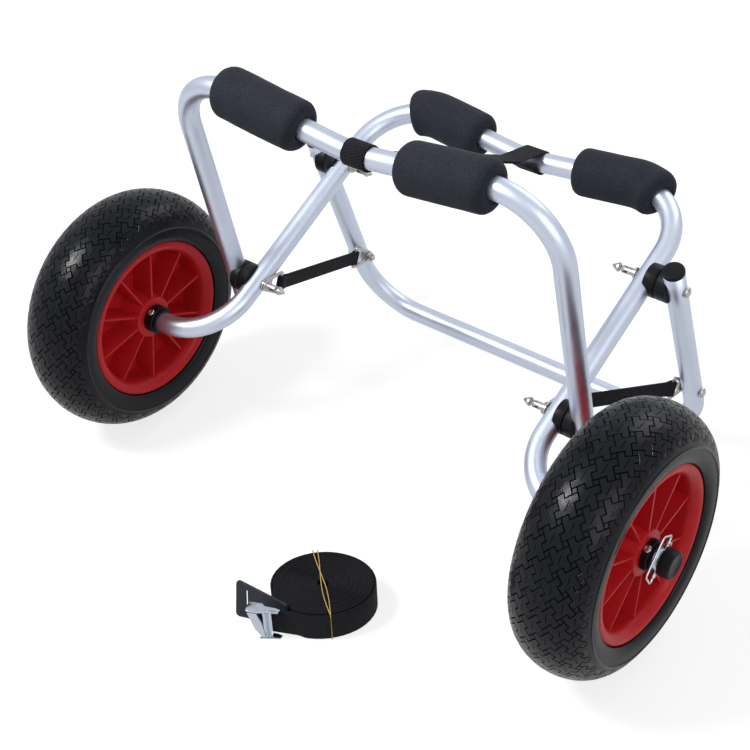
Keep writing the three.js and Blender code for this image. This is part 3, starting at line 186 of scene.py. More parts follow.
class CartSizes(PropertyGroup):
    """Sizes of the cart's finish that a user may change"""

    tube_wall: FloatProperty(
        name="Tube Wall", description="Wall of the bent tubes", default=0.0015, min=0.0008, max=0.003, unit="LENGTH"
    )
    pad_diameter: FloatProperty(
        name="Pad Diameter", description="Outside of the foam sleeves", default=0.048, min=0.03, max=0.05, unit="LENGTH"
    )
    pad_length: FloatProperty(
        name="Pad Length", description="Length of each foam sleeve", default=0.094, min=0.06, max=0.1, unit="LENGTH"
    )
    tread_blocks: IntProperty(
        name="Tread Blocks", description="Tread blocks in one row round a tyre", default=29, min=18, max=36
    )
    tread_depth: FloatProperty(
        name="Tread Depth", description="Depth of the tread grooves",
        default=0.0024, min=0.0005, max=0.004, unit="LENGTH",
    )
    rib_count: IntProperty(
        name="Rim Ribs", description="Ribs on each face of a rim", default=10, min=5, max=16
    )
    roll_loops: IntProperty(
        name="Roll Loops", description="Loops of webbing in the rolled strap", default=16, min=10, max=18
    )


class CartFinishes(PropertyGroup):
    """Colours of the cart's materials"""

    aluminium: FloatVectorProperty(
        name="Aluminium", description="Satin anodised tube", default=(0.70, 0.76, 0.89), min=0, max=1, subtype="COLOR"
    )
    foam: FloatVectorProperty(
        name="Foam", description="Closed-cell foam", default=(0.0130, 0.0147, 0.0208), min=0, max=1, subtype="COLOR"
    )
    plastic: FloatVectorProperty(
        name="Black Plastic", description="Moulded fittings",
        default=(0.006, 0.0062, 0.0078), min=0, max=1, subtype="COLOR",
    )
    rubber: FloatVectorProperty(
        name="Tyre Rubber", description="Tyres", default=(0.0042, 0.0048, 0.0072), min=0, max=1, subtype="COLOR"
    )
    rim_red: FloatVectorProperty(
        name="Rim Red", description="Moulded rims", default=(0.66, 0.018, 0.024), min=0, max=1, subtype="COLOR"
    )
    zinc: FloatVectorProperty(
        name="Zinc", description="Plated pins and brackets", default=(0.60, 0.59, 0.57), min=0, max=1, subtype="COLOR"
    )
    chrome: FloatVectorProperty(
        name="Chrome", description="Buckle and wire", default=(0.62, 0.67, 0.76), min=0, max=1, subtype="COLOR"
    )
    webbing: FloatVectorProperty(
        name="Webbing", description="Woven straps", default=(0.0055, 0.0056, 0.0072), min=0, max=1, subtype="COLOR"
    )
    gold: FloatVectorProperty(
        name="Gold Thread", description="Elastic tie on the roll",
        default=(0.50, 0.38, 0.12), min=0, max=1, subtype="COLOR",
    )
    flap: FloatVectorProperty(
        name="Flap", description="Smooth flap behind the buckle",
        default=(0.026, 0.029, 0.041), min=0, max=1, subtype="COLOR",
    )


# Node groups and materials


def new_group(name, inputs, outputs):
    tree = bpy.data.node_groups.new(name, "ShaderNodeTree")
    for label, kind, value in inputs:
        socket = tree.interface.new_socket(label, in_out="INPUT", socket_type=kind)
        if value is not None:
            socket.default_value = value
    for label, kind in outputs:
        tree.interface.new_socket(label, in_out="OUTPUT", socket_type=kind)
    return tree, tree.nodes.new("NodeGroupInput"), tree.nodes.new("NodeGroupOutput")


def add_node(tree, kind, values=None, **settings):
    made = tree.nodes.new(kind)
    for key, value in settings.items():
        setattr(made, key, value)
    for key, value in (values or {}).items():
        made.inputs[key].default_value = value
    return made


def math_node(tree, operation, first, second=None, third=None):
    made = add_node(tree, "ShaderNodeMath", operation=operation)
    for i, value in enumerate((first, second, third)):
        if value is None:
            continue
        if isinstance(value, (int, float)):
            made.inputs[i].default_value = value
        else:
            tree.links.new(value, made.inputs[i])
    return made.outputs[0]


def mottle_group():
    """Soft blotches between a low and a high value, for colour and gloss that vary over a surface."""
    tree, start, end = new_group(
        "Mottle",
        [
            ("Vector", "NodeSocketVector", None),
            ("Scale", "NodeSocketFloat", 40.0),
            ("Detail", "NodeSocketFloat", 4.0),
            ("Low", "NodeSocketFloat", 0.0),
            ("High", "NodeSocketFloat", 1.0),
        ],
        [("Value", "NodeSocketFloat")],
    )
    blotch = add_node(tree, "ShaderNodeTexNoise", {"Roughness": 0.6})
    spread = add_node(tree, "ShaderNodeMapRange", {"From Min": 0.3, "From Max": 0.7})
    tree.links.new(start.outputs["Vector"], blotch.inputs["Vector"])
    tree.links.new(start.outputs["Scale"], blotch.inputs["Scale"])
    tree.links.new(start.outputs["Detail"], blotch.inputs["Detail"])
    tree.links.new(blotch.outputs["Fac"], spread.inputs["Value"])
    tree.links.new(start.outputs["Low"], spread.inputs["To Min"])
    tree.links.new(start.outputs["High"], spread.inputs["To Max"])
    tree.links.new(spread.outputs["Result"], end.inputs["Value"])
    return tree


def grain_group():
    """A fine moulded or foamed grain: rounded cells broken up by noise. Its pit mask is dark in the sunken cells, for
    painted shade in pores.
    """
    tree, start, end = new_group(
        "Grain",
        [
            ("Vector", "NodeSocketVector", None),
            ("Scale", "NodeSocketFloat", 900.0),
            ("Pits", "NodeSocketFloat", 0.5),
        ],
        [("Height", "NodeSocketFloat"), ("Pore Shade Mask", "NodeSocketFloat")],
    )
    cells = add_node(tree, "ShaderNodeTexVoronoi", feature="F1")
    fine = add_node(tree, "ShaderNodeTexNoise", {"Detail": 3.0, "Roughness": 0.65})
    for target in (cells, fine):
        tree.links.new(start.outputs["Vector"], target.inputs["Vector"])
        tree.links.new(start.outputs["Scale"], target.inputs["Scale"])
    pit = add_node(tree, "ShaderNodeMapRange", {"From Min": 0.15, "From Max": 0.5})
    tree.links.new(cells.outputs["Distance"], pit.inputs["Value"])
    mixed = add_node(tree, "ShaderNodeMix", data_type="FLOAT")
    tree.links.new(start.outputs["Pits"], mixed.inputs["Factor"])
    tree.links.new(fine.outputs["Fac"], mixed.inputs["A"])
    tree.links.new(pit.outputs["Result"], mixed.inputs["B"])
    tree.links.new(mixed.outputs["Result"], end.inputs["Height"])
    # The pit mask is 0 in the sunken pits and 1 on their rims: a mask for painted shade in the pores
    tree.links.new(pit.outputs["Result"], end.inputs["Pore Shade Mask"])
    return tree


def weave_group():
    """Webbing: lengthwise ribs of yarn crossed by a twill, on a map in metres (across, along). The yarn height also
    goes out as a colour mask, for a painted highlight on the raised yarns and painted shade between them.
    """
    tree, start, end = new_group(
        "Webbing Weave",
        [
            ("Vector", "NodeSocketVector", None),
            ("Rib Pitch", "NodeSocketFloat", 0.0016),
            ("Yarn Pitch", "NodeSocketFloat", 0.0011),
        ],
        [("Height", "NodeSocketFloat"), ("Painted Relief Light", "NodeSocketFloat")],
    )
    split = add_node(tree, "ShaderNodeSeparateXYZ")
    tree.links.new(start.outputs["Vector"], split.inputs[0])
    across = math_node(tree, "DIVIDE", split.outputs["X"], start.outputs["Rib Pitch"])
    along = math_node(tree, "DIVIDE", split.outputs["Y"], start.outputs["Yarn Pitch"])
    column = math_node(tree, "FLOOR", across)
    shifted = math_node(tree, "MULTIPLY_ADD", column, 0.34, along)
    rib = math_node(tree, "ABSOLUTE", math_node(tree, "SINE", math_node(tree, "MULTIPLY", across, math.pi)))
    yarn = math_node(tree, "ABSOLUTE", math_node(tree, "SINE", math_node(tree, "MULTIPLY", shifted, math.pi)))
    height = math_node(tree, "MULTIPLY", math_node(tree, "POWER", rib, 0.5), math_node(tree, "POWER", yarn, 0.6))
    fuzz = add_node(tree, "ShaderNodeTexNoise", {"Scale": 2600.0, "Detail": 2.0})
    tree.links.new(start.outputs["Vector"], fuzz.inputs["Vector"])
    rough = math_node(tree, "MULTIPLY_ADD", fuzz.outputs["Fac"], 0.25, height)
    tree.links.new(rough, end.inputs["Height"])
    # The height again, as a colour mask: a painted highlight on the yarn crests and painted shade in the grooves
    tree.links.new(height, end.inputs["Painted Relief Light"])
    return tree


class Finish:
    """A Principled material under construction, with its mottle, grain or weave."""

    def __init__(self, name, colour, roughness, metallic=0.0, specular=0.5, coordinates="Object"):
        self.material = bpy.data.materials.new(name)
        self.material.use_nodes = True
        self.tree = self.material.node_tree
        self.shader = self.tree.nodes["Principled BSDF"]
        self.colour = colour
        self.shader.inputs["Base Color"].default_value = (*colour, 1)
        self.shader.inputs["Roughness"].default_value = roughness
        self.shader.inputs["Metallic"].default_value = metallic
        self.shader.inputs["Specular IOR Level"].default_value = specular
        self.vector = add_node(self.tree, "ShaderNodeTexCoord").outputs[coordinates]

    def group(self, tree, values):
        made = add_node(self.tree, "ShaderNodeGroup", values, node_tree=tree)
        self.tree.links.new(self.vector, made.inputs["Vector"])
        return made

    def vary_roughness(self, mottle, scale, low, high, detail=4.0):
        made = self.group(mottle, {"Scale": scale, "Low": low, "High": high, "Detail": detail})
        self.tree.links.new(made.outputs["Value"], self.shader.inputs["Roughness"])

    def vary_colour(self, factor, share):
        """Mixes the colour with a darker or lighter share of itself."""
        other = [min(1.0, channel * share) for channel in self.colour]
        mixed = add_node(self.tree, "ShaderNodeMix", data_type="RGBA")
        mixed.inputs["A"].default_value = (*self.colour, 1)
        mixed.inputs["B"].default_value = (*other, 1)
        self.tree.links.new(factor, mixed.inputs["Factor"])
        self.tree.links.new(mixed.outputs["Result"], self.shader.inputs["Base Color"])

    def blotch(self, mottle, values, share):
        self.vary_colour(self.group(mottle, values).outputs["Value"], share)

    def bump(self, made, distance, strength):
        """Raises the surface by the height that a grain or a weave gives."""
        bumped = add_node(self.tree, "ShaderNodeBump", {"Strength": strength, "Distance": distance})
        self.tree.links.new(made.outputs["Height"], bumped.inputs["Height"])
        self.tree.links.new(bumped.outputs["Normal"], self.shader.inputs["Normal"])

    def sheen(self, roughness):
        self.shader.inputs["Sheen Weight"].default_value = 0.04
        self.shader.inputs["Sheen Roughness"].default_value = roughness


def make_materials(colours):
    mottle, grain, weave = mottle_group(), grain_group(), weave_group()

    aluminium = Finish("Satin Aluminium", colours.aluminium, 0.4, 1.0)
    aluminium.vary_roughness(mottle, 30.0, 0.36, 0.46)
    aluminium.blotch(mottle, {"Scale": 9.0}, 0.95)
    aluminium.bump(aluminium.group(grain, {"Scale": 2200.0, "Pits": 0.2}), 0.00004, 0.35)

    foam = Finish("Black Foam", colours.foam, 0.78, specular=0.14)
    foam.sheen(0.5)
    pores = foam.group(grain, {"Scale": 620.0, "Pits": 0.55})
    # Painted shade in the pores: the rims between them are 2.1 times lighter than the pits
    foam.vary_colour(pores.outputs["Pore Shade Mask"], 2.1)
    foam.vary_roughness(mottle, 60.0, 0.68, 0.85)
    foam.bump(pores, 0.0003, 0.6)

    plastic = Finish("Black Plastic", colours.plastic, 0.42, specular=0.18)
    plastic.vary_roughness(mottle, 70.0, 0.34, 0.5)
    plastic.bump(plastic.group(grain, {"Scale": 1600.0, "Pits": 0.3}), 0.0001, 0.4)
    plastic.blotch(mottle, {"Scale": 260.0, "Detail": 8.0, "High": 0.5}, 1.7)

    rubber = Finish("Tyre Rubber", colours.rubber, 0.24, specular=0.2)
    rubber.vary_roughness(mottle, 45.0, 0.17, 0.31, 6.0)
    rubber.bump(rubber.group(grain, {"Scale": 1100.0, "Pits": 0.35}), 0.0002, 0.45)
    rubber.blotch(mottle, {"Scale": 22.0, "Detail": 6.0}, 1.5)

    red = Finish("Red Rim Plastic", colours.rim_red, 0.33, specular=0.2)
    red.vary_roughness(mottle, 55.0, 0.26, 0.40)
    red.blotch(mottle, {"Scale": 14.0, "Detail": 3.0}, 0.85)
    red.bump(red.group(grain, {"Scale": 1300.0, "Pits": 0.15}), 0.0001, 0.25)

    zinc = Finish("Zinc Plate", colours.zinc, 0.3, 1.0)
    zinc.vary_roughness(mottle, 260.0, 0.22, 0.42)
    zinc.blotch(mottle, {"Scale": 420.0, "Detail": 2.0}, 0.78)
    zinc.bump(zinc.group(grain, {"Scale": 2600.0, "Pits": 0.2}), 0.00005, 0.4)

    chrome = Finish("Bright Chrome", colours.chrome, 0.12, 1.0)
    chrome.vary_roughness(mottle, 180.0, 0.08, 0.20)
    chrome.blotch(mottle, {"Scale": 90.0}, 0.9)

    webbing = Finish("Black Webbing", colours.webbing, 0.8, specular=0.15, coordinates="UV")
    webbing.sheen(0.4)
    twill = webbing.group(weave, {"Rib Pitch": 0.0021, "Yarn Pitch": 0.0028})
    # Painted highlight on the raised yarns and painted shade between them: the crests are four times lighter
    webbing.vary_colour(twill.outputs["Painted Relief Light"], 4.0)
    webbing.vary_roughness(mottle, 300.0, 0.7, 0.92)
    webbing.bump(twill, 0.0006, 0.9)

    gold = Finish("Gold Thread", colours.gold, 0.45, 0.35, coordinates="UV")
    strands = gold.group(weave, {"Rib Pitch": 0.0005, "Yarn Pitch": 0.0012})
    # Painted highlight on the raised strands and painted shade between them
    gold.vary_colour(strands.outputs["Painted Relief Light"], 1.5)
    gold.bump(strands, 0.0002, 0.8)

    flap = Finish("Grey Flap", colours.flap, 0.42, specular=0.25)
    flap.vary_roughness(mottle, 50.0, 0.36, 0.5)
    flap.bump(flap.group(grain, {"Scale": 1800.0, "Pits": 0.1}), 0.00006, 0.3)
    flap.blotch(mottle, {"Scale": 120.0, "Detail": 7.0, "High": 0.6}, 1.35)


FINISH_OF_SLOT = {
    "frame_aluminium": "Satin Aluminium",
    "foam": "Black Foam",
    "black_plastic": "Black Plastic",
    "zinc_steel": "Zinc Plate",
    "chrome_steel": "Bright Chrome",
    "tyre_rubber": "Tyre Rubber",
    "red_plastic": "Red Rim Plastic",
    "webbing": "Black Webbing",
    "gold_elastic": "Gold Thread",
    "flap_plastic": "Grey Flap",
}


# Making pieces


def finished(name, bm, slot, body, replaced, crease=35):
    """Turns a bmesh into a piece with its slot's finish, which rides on a body and replaces its solids."""
    mesh = bpy.data.meshes.new(name)
    bm.to_mesh(mesh)
    bm.free()
    mesh.shade_smooth()
    mesh.set_sharp_from_angle(angle=math.radians(crease))
    mesh.materials.append(bpy.data.materials[FINISH_OF_SLOT[slot]])
    piece = bpy.data.objects.new(name, mesh)
    bpy.context.scene.collection.objects.link(piece)
    if body:
        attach(piece, body)
    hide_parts(*replaced)
    return piece


def frame_from(across, tangent, origin):
    """A matrix whose X is across, whose Z is the tangent and whose place is the origin."""
    z = tangent.normalized()
    x = (across - z * across.dot(z)).normalized()
    y = z.cross(x)
    return placed(x, y, z, origin)


def placed(x, y, z, origin):
    made = Matrix((x, y, z)).transposed().to_4x4()
    made.translation = origin
    return made


def round_section(radius, sides):
    angles = [2 * math.pi * i / sides for i in range(sides)]
    return [(radius * math.cos(angle), radius * math.sin(angle)) for angle in angles]


def flat_section(width, thickness):
    """A webbing's section, thinner at its two woven edges."""
    half, edge, thick = width / 2, width / 2 - thickness * 0.6, thickness / 2
    return [
        (-edge, -thick),
        (0, -thick),
        (edge, -thick),
        (half, -thick * 0.35),
        (half, thick * 0.35),
        (edge, thick),
        (0, thick),
        (-edge, thick),
        (-half, thick * 0.35),
        (-half, -thick * 0.35),
    ]


def sweep(bm, frames, section, scales=None, closed=False, capped=True):
    """Carries a ring through frames: each ring is extruded from the last and moved to the next frame.
    It leaves a map in metres: across the section, and along the way."""
    across = bm.verts.layers.float.get("across") or bm.verts.layers.float.new("across")
    along = bm.verts.layers.float.get("along") or bm.verts.layers.float.new("along")
    scales = scales or [1.0] * len(frames)
    ring = [bm.verts.new(frames[0] @ Vector((x * scales[0], y * scales[0], 0))) for x, y in section]
    for vert, (x, _) in zip(ring, section):
        vert[across] = x
        vert[along] = 0.0
    edges = [bm.edges.new((ring[i], ring[(i + 1) % len(ring)])) for i in range(len(ring))]
    first_edges, distance = list(edges), 0.0
    for i in range(1, len(frames)):
        distance += (frames[i].translation - frames[i - 1].translation).length
        made = bmesh.ops.extrude_edge_only(bm, edges=edges)["geom"]
        fresh = [v for v in made if isinstance(v, bmesh.types.BMVert)]
        held = set(fresh)
        edges = [e for e in made if isinstance(e, bmesh.types.BMEdge) and held.issuperset(e.verts)]
        share = scales[i] / scales[i - 1]
        step = frames[i] @ Matrix.Scale(share, 4) @ frames[i - 1].inverted()
        bmesh.ops.transform(bm, matrix=step, verts=fresh)
        for vert in fresh:
            vert[along] = distance
    if closed:
        bmesh.ops.bridge_loops(bm, edges=first_edges + edges)
    elif capped:
        bmesh.ops.holes_fill(bm, edges=first_edges + edges, sides=0)


def map_from_layers(bm):
    """Writes the across and along layers to a UV map."""
    across, along = bm.verts.layers.float["across"], bm.verts.layers.float["along"]
    uv = bm.loops.layers.uv.new("Weave")
    for face in bm.faces:
        for loop in face.loops:
            loop[uv].uv = (loop.vert[across], loop.vert[along])


def spun(bm, profile, origin, axis, steps=48, start=None):
    """Spins a profile of (distance along the axis, radius) round the axis. Closed profiles repeat their first place."""
    axis = axis.normalized()
    out = start or (ACROSS if abs(axis.dot(ACROSS)) < 0.9 else UP)
    out = (out - axis * out.dot(axis)).normalized()
    looped = (Vector(profile[0]) - Vector(profile[-1])).length < 1e-9
    places = profile[:-1] if looped else profile
    verts = [bm.verts.new(origin + axis * x + out * radius) for x, radius in places]
    edges = [bm.edges.new(pair) for pair in zip(verts, verts[1:])]
    if looped:
        edges.append(bm.edges.new((verts[-1], verts[0])))
    before = set(bm.verts) - set(verts)
    bmesh.ops.spin(
        bm, geom=verts + edges, cent=origin, axis=axis, angle=2 * math.pi, steps=steps, use_merge=True,
        use_duplicate=False,
    )
    fresh = [v for v in bm.verts if v not in before]
    bmesh.ops.remove_doubles(bm, verts=fresh, dist=1e-6)


def dome(foot, height, radius):
    """The profile of a domed head, from its top down to its rim."""
    angles = [math.pi / 2 * i / 8 for i in range(9)]
    return [(foot + height * math.cos(angle), radius * math.sin(angle)) for angle in angles]


def outward(bm):
    bmesh.ops.recalc_face_normals(bm, faces=bm.faces)


def bevel_edges(bm, edges, width):
    bmesh.ops.bevel(
        bm, geom=edges, offset=width, offset_type="OFFSET", segments=2, profile=0.5, affect="EDGES", material=-1,
        clamp_overlap=True,
    )


def append_part(bm, part):
    """Moves a bmesh that was made apart into the one of its piece."""
    mesh = bpy.data.meshes.new("part")
    part.to_mesh(mesh)
    part.free()
    bm.from_mesh(mesh)
    bpy.data.meshes.remove(mesh)


def softened(node, width):
    """A copy of a solid with its sharp edges rounded."""
    bm = bmesh.new()
    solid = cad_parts[node]
    bm.from_mesh(solid.data)
    bmesh.ops.transform(bm, matrix=solid.matrix_world, verts=bm.verts)
    bmesh.ops.remove_doubles(bm, verts=bm.verts, dist=1e-5)
    bmesh.ops.dissolve_limit(bm, angle_limit=math.radians(2), verts=bm.verts, edges=bm.edges)
    limit = math.radians(50)
    sharp = [e for e in bm.edges if len(e.link_faces) == 2 and e.calc_face_angle(0) > limit]
    bevel_edges(bm, sharp, width)
    return bm


def plate(bm, outline, thickness, matrix, rounding):
    """A flat outline of (x, y) places, given a thickness along Z and rounded rims, set in place by a matrix."""
    part = bmesh.new()
    face = part.faces.new([part.verts.new((x, y, 0)) for x, y in outline])
    made = bmesh.ops.extrude_face_region(part, geom=[face])["geom"]
    top = [v for v in made if isinstance(v, bmesh.types.BMVert)]
    bmesh.ops.translate(part, vec=(0, 0, thickness), verts=top)
    bevel_edges(part, part.edges[:], rounding)
    bmesh.ops.transform(part, matrix=matrix, verts=part.verts)
    append_part(bm, part)


class Route:
    """A bent tube's centre line in one plane: straight runs between corners that are rounded by radii."""

    def __init__(self, corners, radii, normal):
        self.normal, self.runs, self.total = normal, [], 0.0
        start = corners[0]
        for i, radius in enumerate(radii):
            corner = corners[i + 1]
            before = (corner - corners[i]).normalized()
            after = (corners[i + 2] - corner).normalized()
            turn = before.angle(after)
            setback = radius * math.tan(turn / 2)
            bend_start = corner - before * setback
            inwards = (after - before * before.dot(after)).normalized()
            self._straight(start, bend_start)
            self.runs.append((self.total, radius * turn, bend_start, before, inwards, radius))
            self.total += radius * turn
            start = corner + after * setback
        self._straight(start, corners[-1])

    def _straight(self, start, end):
        length = (end - start).length
        self.runs.append((self.total, length, start, (end - start).normalized(), None, None))
        self.total += length

    def at(self, distance):
        run = [r for r in self.runs if r[0] <= distance + 1e-9][-1]
        begin, _, start, tangent, inwards, radius = run
        reach = distance - begin
        if inwards is None:
            return start + tangent * reach, tangent
        angle = reach / radius
        point = start + inwards * radius * (1 - math.cos(angle)) + tangent * radius * math.sin(angle)
        return point, tangent * math.cos(angle) + inwards * math.sin(angle)

    def frame(self, distance):
        point, tangent = self.at(distance)
        return frame_from(self.normal, tangent, point)

    def stations(self, bend_step=0.0035, run_step=0.04):
        """Distances to put a ring at: close in the bends, wide apart on the straight runs."""
        places = {0.0, self.total}
        for begin, length, _, _, inwards, radius in self.runs:
            step = bend_step * max(1.0, radius / BEND_RADIUS) if inwards else run_step
            count = max(1, math.ceil(length / step))
            places.update(begin + length * i / count for i in range(count + 1))
        return sorted(p for p in places if 0 <= p <= self.total)


def along_plane(origin, x, direction, distance):
    return origin + ACROSS * x + direction * distance


def axle_frame_route():
    up, leg, end = AXLE_FRAME_UP, AXLE_LEG_X, AXLE_END_X
    corners = [
        along_plane(AXLE, -end, up, 0),
        along_plane(AXLE, -leg, up, 0),
        along_plane(AXLE, -leg, up, AXLE_FRAME_REACH),
        along_plane(AXLE, 0, up, AXLE_FRAME_REACH - AXLE_FRAME_DIP),
        along_plane(AXLE, leg, up, AXLE_FRAME_REACH),
        along_plane(AXLE, leg, up, 0),
        along_plane(AXLE, end, up, 0),
    ]
    radii = [BEND_RADIUS, BEND_RADIUS, KINK_RADIUS, BEND_RADIUS, BEND_RADIUS]
    return Route(corners, radii, ACROSS.cross(up))


def front_frame_route():
    up, leg = FRONT_FRAME_UP, FRONT_LEG_X
    corners = [
        along_plane(FRONT_PIVOT, -leg, up, -FRONT_FRAME_TAIL),
        along_plane(FRONT_PIVOT, -leg, up, FRONT_FRAME_LENGTH),
        along_plane(FRONT_PIVOT, 0, up, FRONT_FRAME_LENGTH - FRONT_FRAME_DIP),
        along_plane(FRONT_PIVOT, leg, up, FRONT_FRAME_LENGTH),
        along_plane(FRONT_PIVOT, leg, up, -FRONT_FRAME_TAIL),
    ]
    return Route(corners, [BEND_RADIUS, KINK_RADIUS, BEND_RADIUS], ACROSS.cross(up))


def stand_route():
    down, leg = STAND_DOWN, STAND_LEG_X
    corners = [
        along_plane(STAND_PIVOT, -leg, down, -STAND_TAIL),
        along_plane(STAND_PIVOT, -leg, down, STAND_LENGTH),
        along_plane(STAND_PIVOT, leg, down, STAND_LENGTH),
        along_plane(STAND_PIVOT, leg, down, -STAND_TAIL),
    ]
    return Route(corners, [BEND_RADIUS, BEND_RADIUS], ACROSS.cross(down))


AXLE_ROUTE = axle_frame_route()
FRONT_ROUTE = front_frame_route()
STAND_ROUTE = stand_route()


class CART_OT_tubes(Operator):
    """Bends the three tubes of the cart"""

    bl_idname = "kayak_cart.tubes"
    bl_label = "Tubes"

    def execute(self, context):
        wall = context.scene.cart_sizes.tube_wall
        pieces = (
            ("axle_bent_tube", AXLE_ROUTE, "axle_frame", "axle_frame_tube"),
            ("front_bent_tube", FRONT_ROUTE, "front_frame", "front_frame_tube"),
            ("stand_bent_tube", STAND_ROUTE, "stand", "stand_tube"),
        )
        for name, route, body, node in pieces:
            bm = bmesh.new()
            frames = [route.frame(d) for d in route.stations()]
            sweep(bm, frames, round_section(TUBE_RADIUS, 40), capped=False)
            outward(bm)
            piece = finished(name, bm, "frame_aluminium", body, [node])
            shell = piece.modifiers.new("Wall", "SOLIDIFY")
            shell.thickness = wall
            shell.offset = -1
        return {"FINISHED"}


class CART_OT_pads(Operator):
    """Slides a foam sleeve on each half of both bars"""

    bl_idname = "kayak_cart.pads"
    bl_label = "Foam Sleeves"

    def execute(self, context):
        sizes = context.scene.cart_sizes
        outside, bore, rounding = sizes.pad_diameter / 2, TUBE_RADIUS + 0.0004, 0.0095
        for word, route, body in (("rear", AXLE_ROUTE, "axle_frame"), ("front", FRONT_ROUTE, "front_frame")):
            for side, way in SIDES:
                near = route.total / 2 + way * PAD_START
                far = near + way * sizes.pad_length
                low, high = min(near, far), max(near, far)
                profile = [(low + 0.006, bore), (low + 0.0015, bore + 0.0006)]
                profile += [(low + 0.0006, bore + 0.004), (low, outside - rounding)]
                for i in range(1, 7):
                    angle = math.pi / 2 * i / 6
                    rise = rounding * (1 - math.cos(angle))
                    profile.append((low + rise, outside - rounding + rounding * math.sin(angle)))
                count = 26
                body_start, body_end = low + rounding, high - rounding
                for i in range(1, count):
                    profile.append((body_start + (body_end - body_start) * i / count, outside))
                profile += [(low + high - d, r) for d, r in profile[:10][::-1]]
                bm = bmesh.new()
                frames = [route.frame(d) for d, _ in profile]
                scales = [r / bore for _, r in profile]
                sweep(bm, frames, round_section(bore, 56), scales, closed=True)
                outward(bm)
                bar_place = route.at(low)[0]
                for vert in bm.verts:
                    if (vert.co - bar_place).length > bore:
                        place = vert.co * 22.0 + Vector((way * 3.1, len(word), 0))
                        lump = noise.noise(place) * 0.00055 + noise.noise(place * 3.1) * 0.00022
                        vert.co += vert.normal * lump
                piece = finished(f"{side}_{word}_foam", bm, "foam", body, [f"{word}_pad_{side}"], crease=60)
        return {"FINISHED"}


def tyre_arc():
    """Places along half of the tyre's outer curve, from the crown: (arc length, x, radius, normal x, normal radius)."""
    table, last, reach = [], None, 0.0
    a, b = TYRE_HALF_WIDTH, TYRE_RADIUS - TYRE_WIDEST_RADIUS
    for i in range(181):
        angle = math.pi / 2 * i / 180
        x, r = a * math.sin(angle), b * math.cos(angle)
        if last:
            reach += math.hypot(x - last[0], r - last[1])
        last = (x, r)
        nx, nr = x / (a * a), r / (b * b)
        size = math.hypot(nx, nr)
        table.append((reach, x, TYRE_WIDEST_RADIUS + r, nx / size, nr / size))
    return table


TYRE_ARC = tyre_arc()


def on_tyre(distance, depth):
    """The place (x, radius) at a signed distance over the tyre from its crown, and a depth under its surface."""
    reach = abs(distance)
    i = 1
    while i < len(TYRE_ARC) - 1 and TYRE_ARC[i][0] < reach:
        i += 1
    low, high = TYRE_ARC[i - 1], TYRE_ARC[i]
    share = (reach - low[0]) / (high[0] - low[0])
    _, x, r, nx, nr = (p + (q - p) * share for p, q in zip(low, high))
    return math.copysign(x - nx * depth, distance), r - nr * depth


def tread_depth_at(distance, depth):
    """Grooves are full depth over the crown and run out on the shoulder."""
    return depth * min(1.0, max(0.0, (TREAD_END - abs(distance)) / TREAD_RUN_OUT))


def block_outline(pitch):
    """A tread block, flat: a diamond whose sides each step once, so that it interlocks with its neighbours."""
    low, half, high, near, far = BLOCK_STEP, 0.5, 1 - BLOCK_STEP, -BLOCK_STEP, 1 + BLOCK_STEP
    lattice = [
        (near, low), (half, low), (half, near), (high, near), (high, half), (far, half),
        (far, high), (half, high), (half, far), (low, far), (low, half), (near, half),
    ]
    return [((p - q) * pitch / 2, (p + q - 1) * TREAD_ROW / 2) for p, q in lattice]


def key_outline(pitch):
    """The small diamond that fills the gap where four blocks meet."""
    along, over = KEY_REACH * pitch / 2, KEY_REACH * TREAD_ROW / 2
    return [(0, -over), (along, 0), (0, over), (-along, 0)]


def tread_block(outline, row_place, siped):
    """A block of tread over its outline, cut off where the tread ends. Heights run from 0 at its foot to 1."""
    bm = bmesh.new()
    bm.faces.new([bm.verts.new((x, y, 0)) for x, y in outline])
    for way in (-1, 1):
        whole = bm.verts[:] + bm.edges[:] + bm.faces[:]
        limit = Vector((0, way * TREAD_END - row_place, 0))
        bmesh.ops.bisect_plane(bm, geom=whole, plane_co=limit, plane_no=(0, way, 0), clear_outer=True)
    kept = bm.faces[:]
    bmesh.ops.inset_individual(bm, faces=kept, thickness=0.00042)
    bmesh.ops.delete(bm, geom=[f for f in bm.faces if f not in kept], context="FACES")
    made = bmesh.ops.extrude_face_region(bm, geom=kept)["geom"]
    tops = [f for f in made if isinstance(f, bmesh.types.BMFace)]
    bmesh.ops.translate(bm, vec=(0, 0, 0.8), verts=list({v for f in tops for v in f.verts}))
    bmesh.ops.inset_individual(bm, faces=tops, thickness=0.0005)
    for vert in {v for f in tops for v in f.verts}:
        vert.co.z = 1.0
    if not siped:
        return bm
    cuts = [(Vector((1, 0, 0)), place) for place in (-SIPE_HALF_LENGTH, 0.0, SIPE_HALF_LENGTH)]
    cuts += [(Vector((0, 1, 0)), place) for place in (-SIPE_ROOM, SIPE_ROOM)]
    for normal, place in cuts:
        whole = bm.verts[:] + bm.edges[:] + bm.faces[:]
        bmesh.ops.bisect_plane(bm, geom=whole, plane_co=normal * place, plane_no=normal)
    for place in (-SIPE_HALF_WIDTH, 0.0, SIPE_HALF_WIDTH):
        inner = [
            f for f in bm.faces
            if f.normal.z > 0.9
            and all(abs(v.co.x) < SIPE_HALF_LENGTH + 0.0001 and abs(v.co.y) < SIPE_ROOM + 0.0001 for v in f.verts)
        ]
        around = inner + list({e for f in inner for e in f.edges}) + list({v for f in inner for v in f.verts})
        bmesh.ops.bisect_plane(bm, geom=around, plane_co=(0, place, 0), plane_no=(0, 1, 0))
    for vert in bm.verts:
        if vert.co.z > 0.99 and abs(vert.co.y) < 1e-5 and abs(vert.co.x) < 0.001:
            vert.co.z = 0.5
    return bm


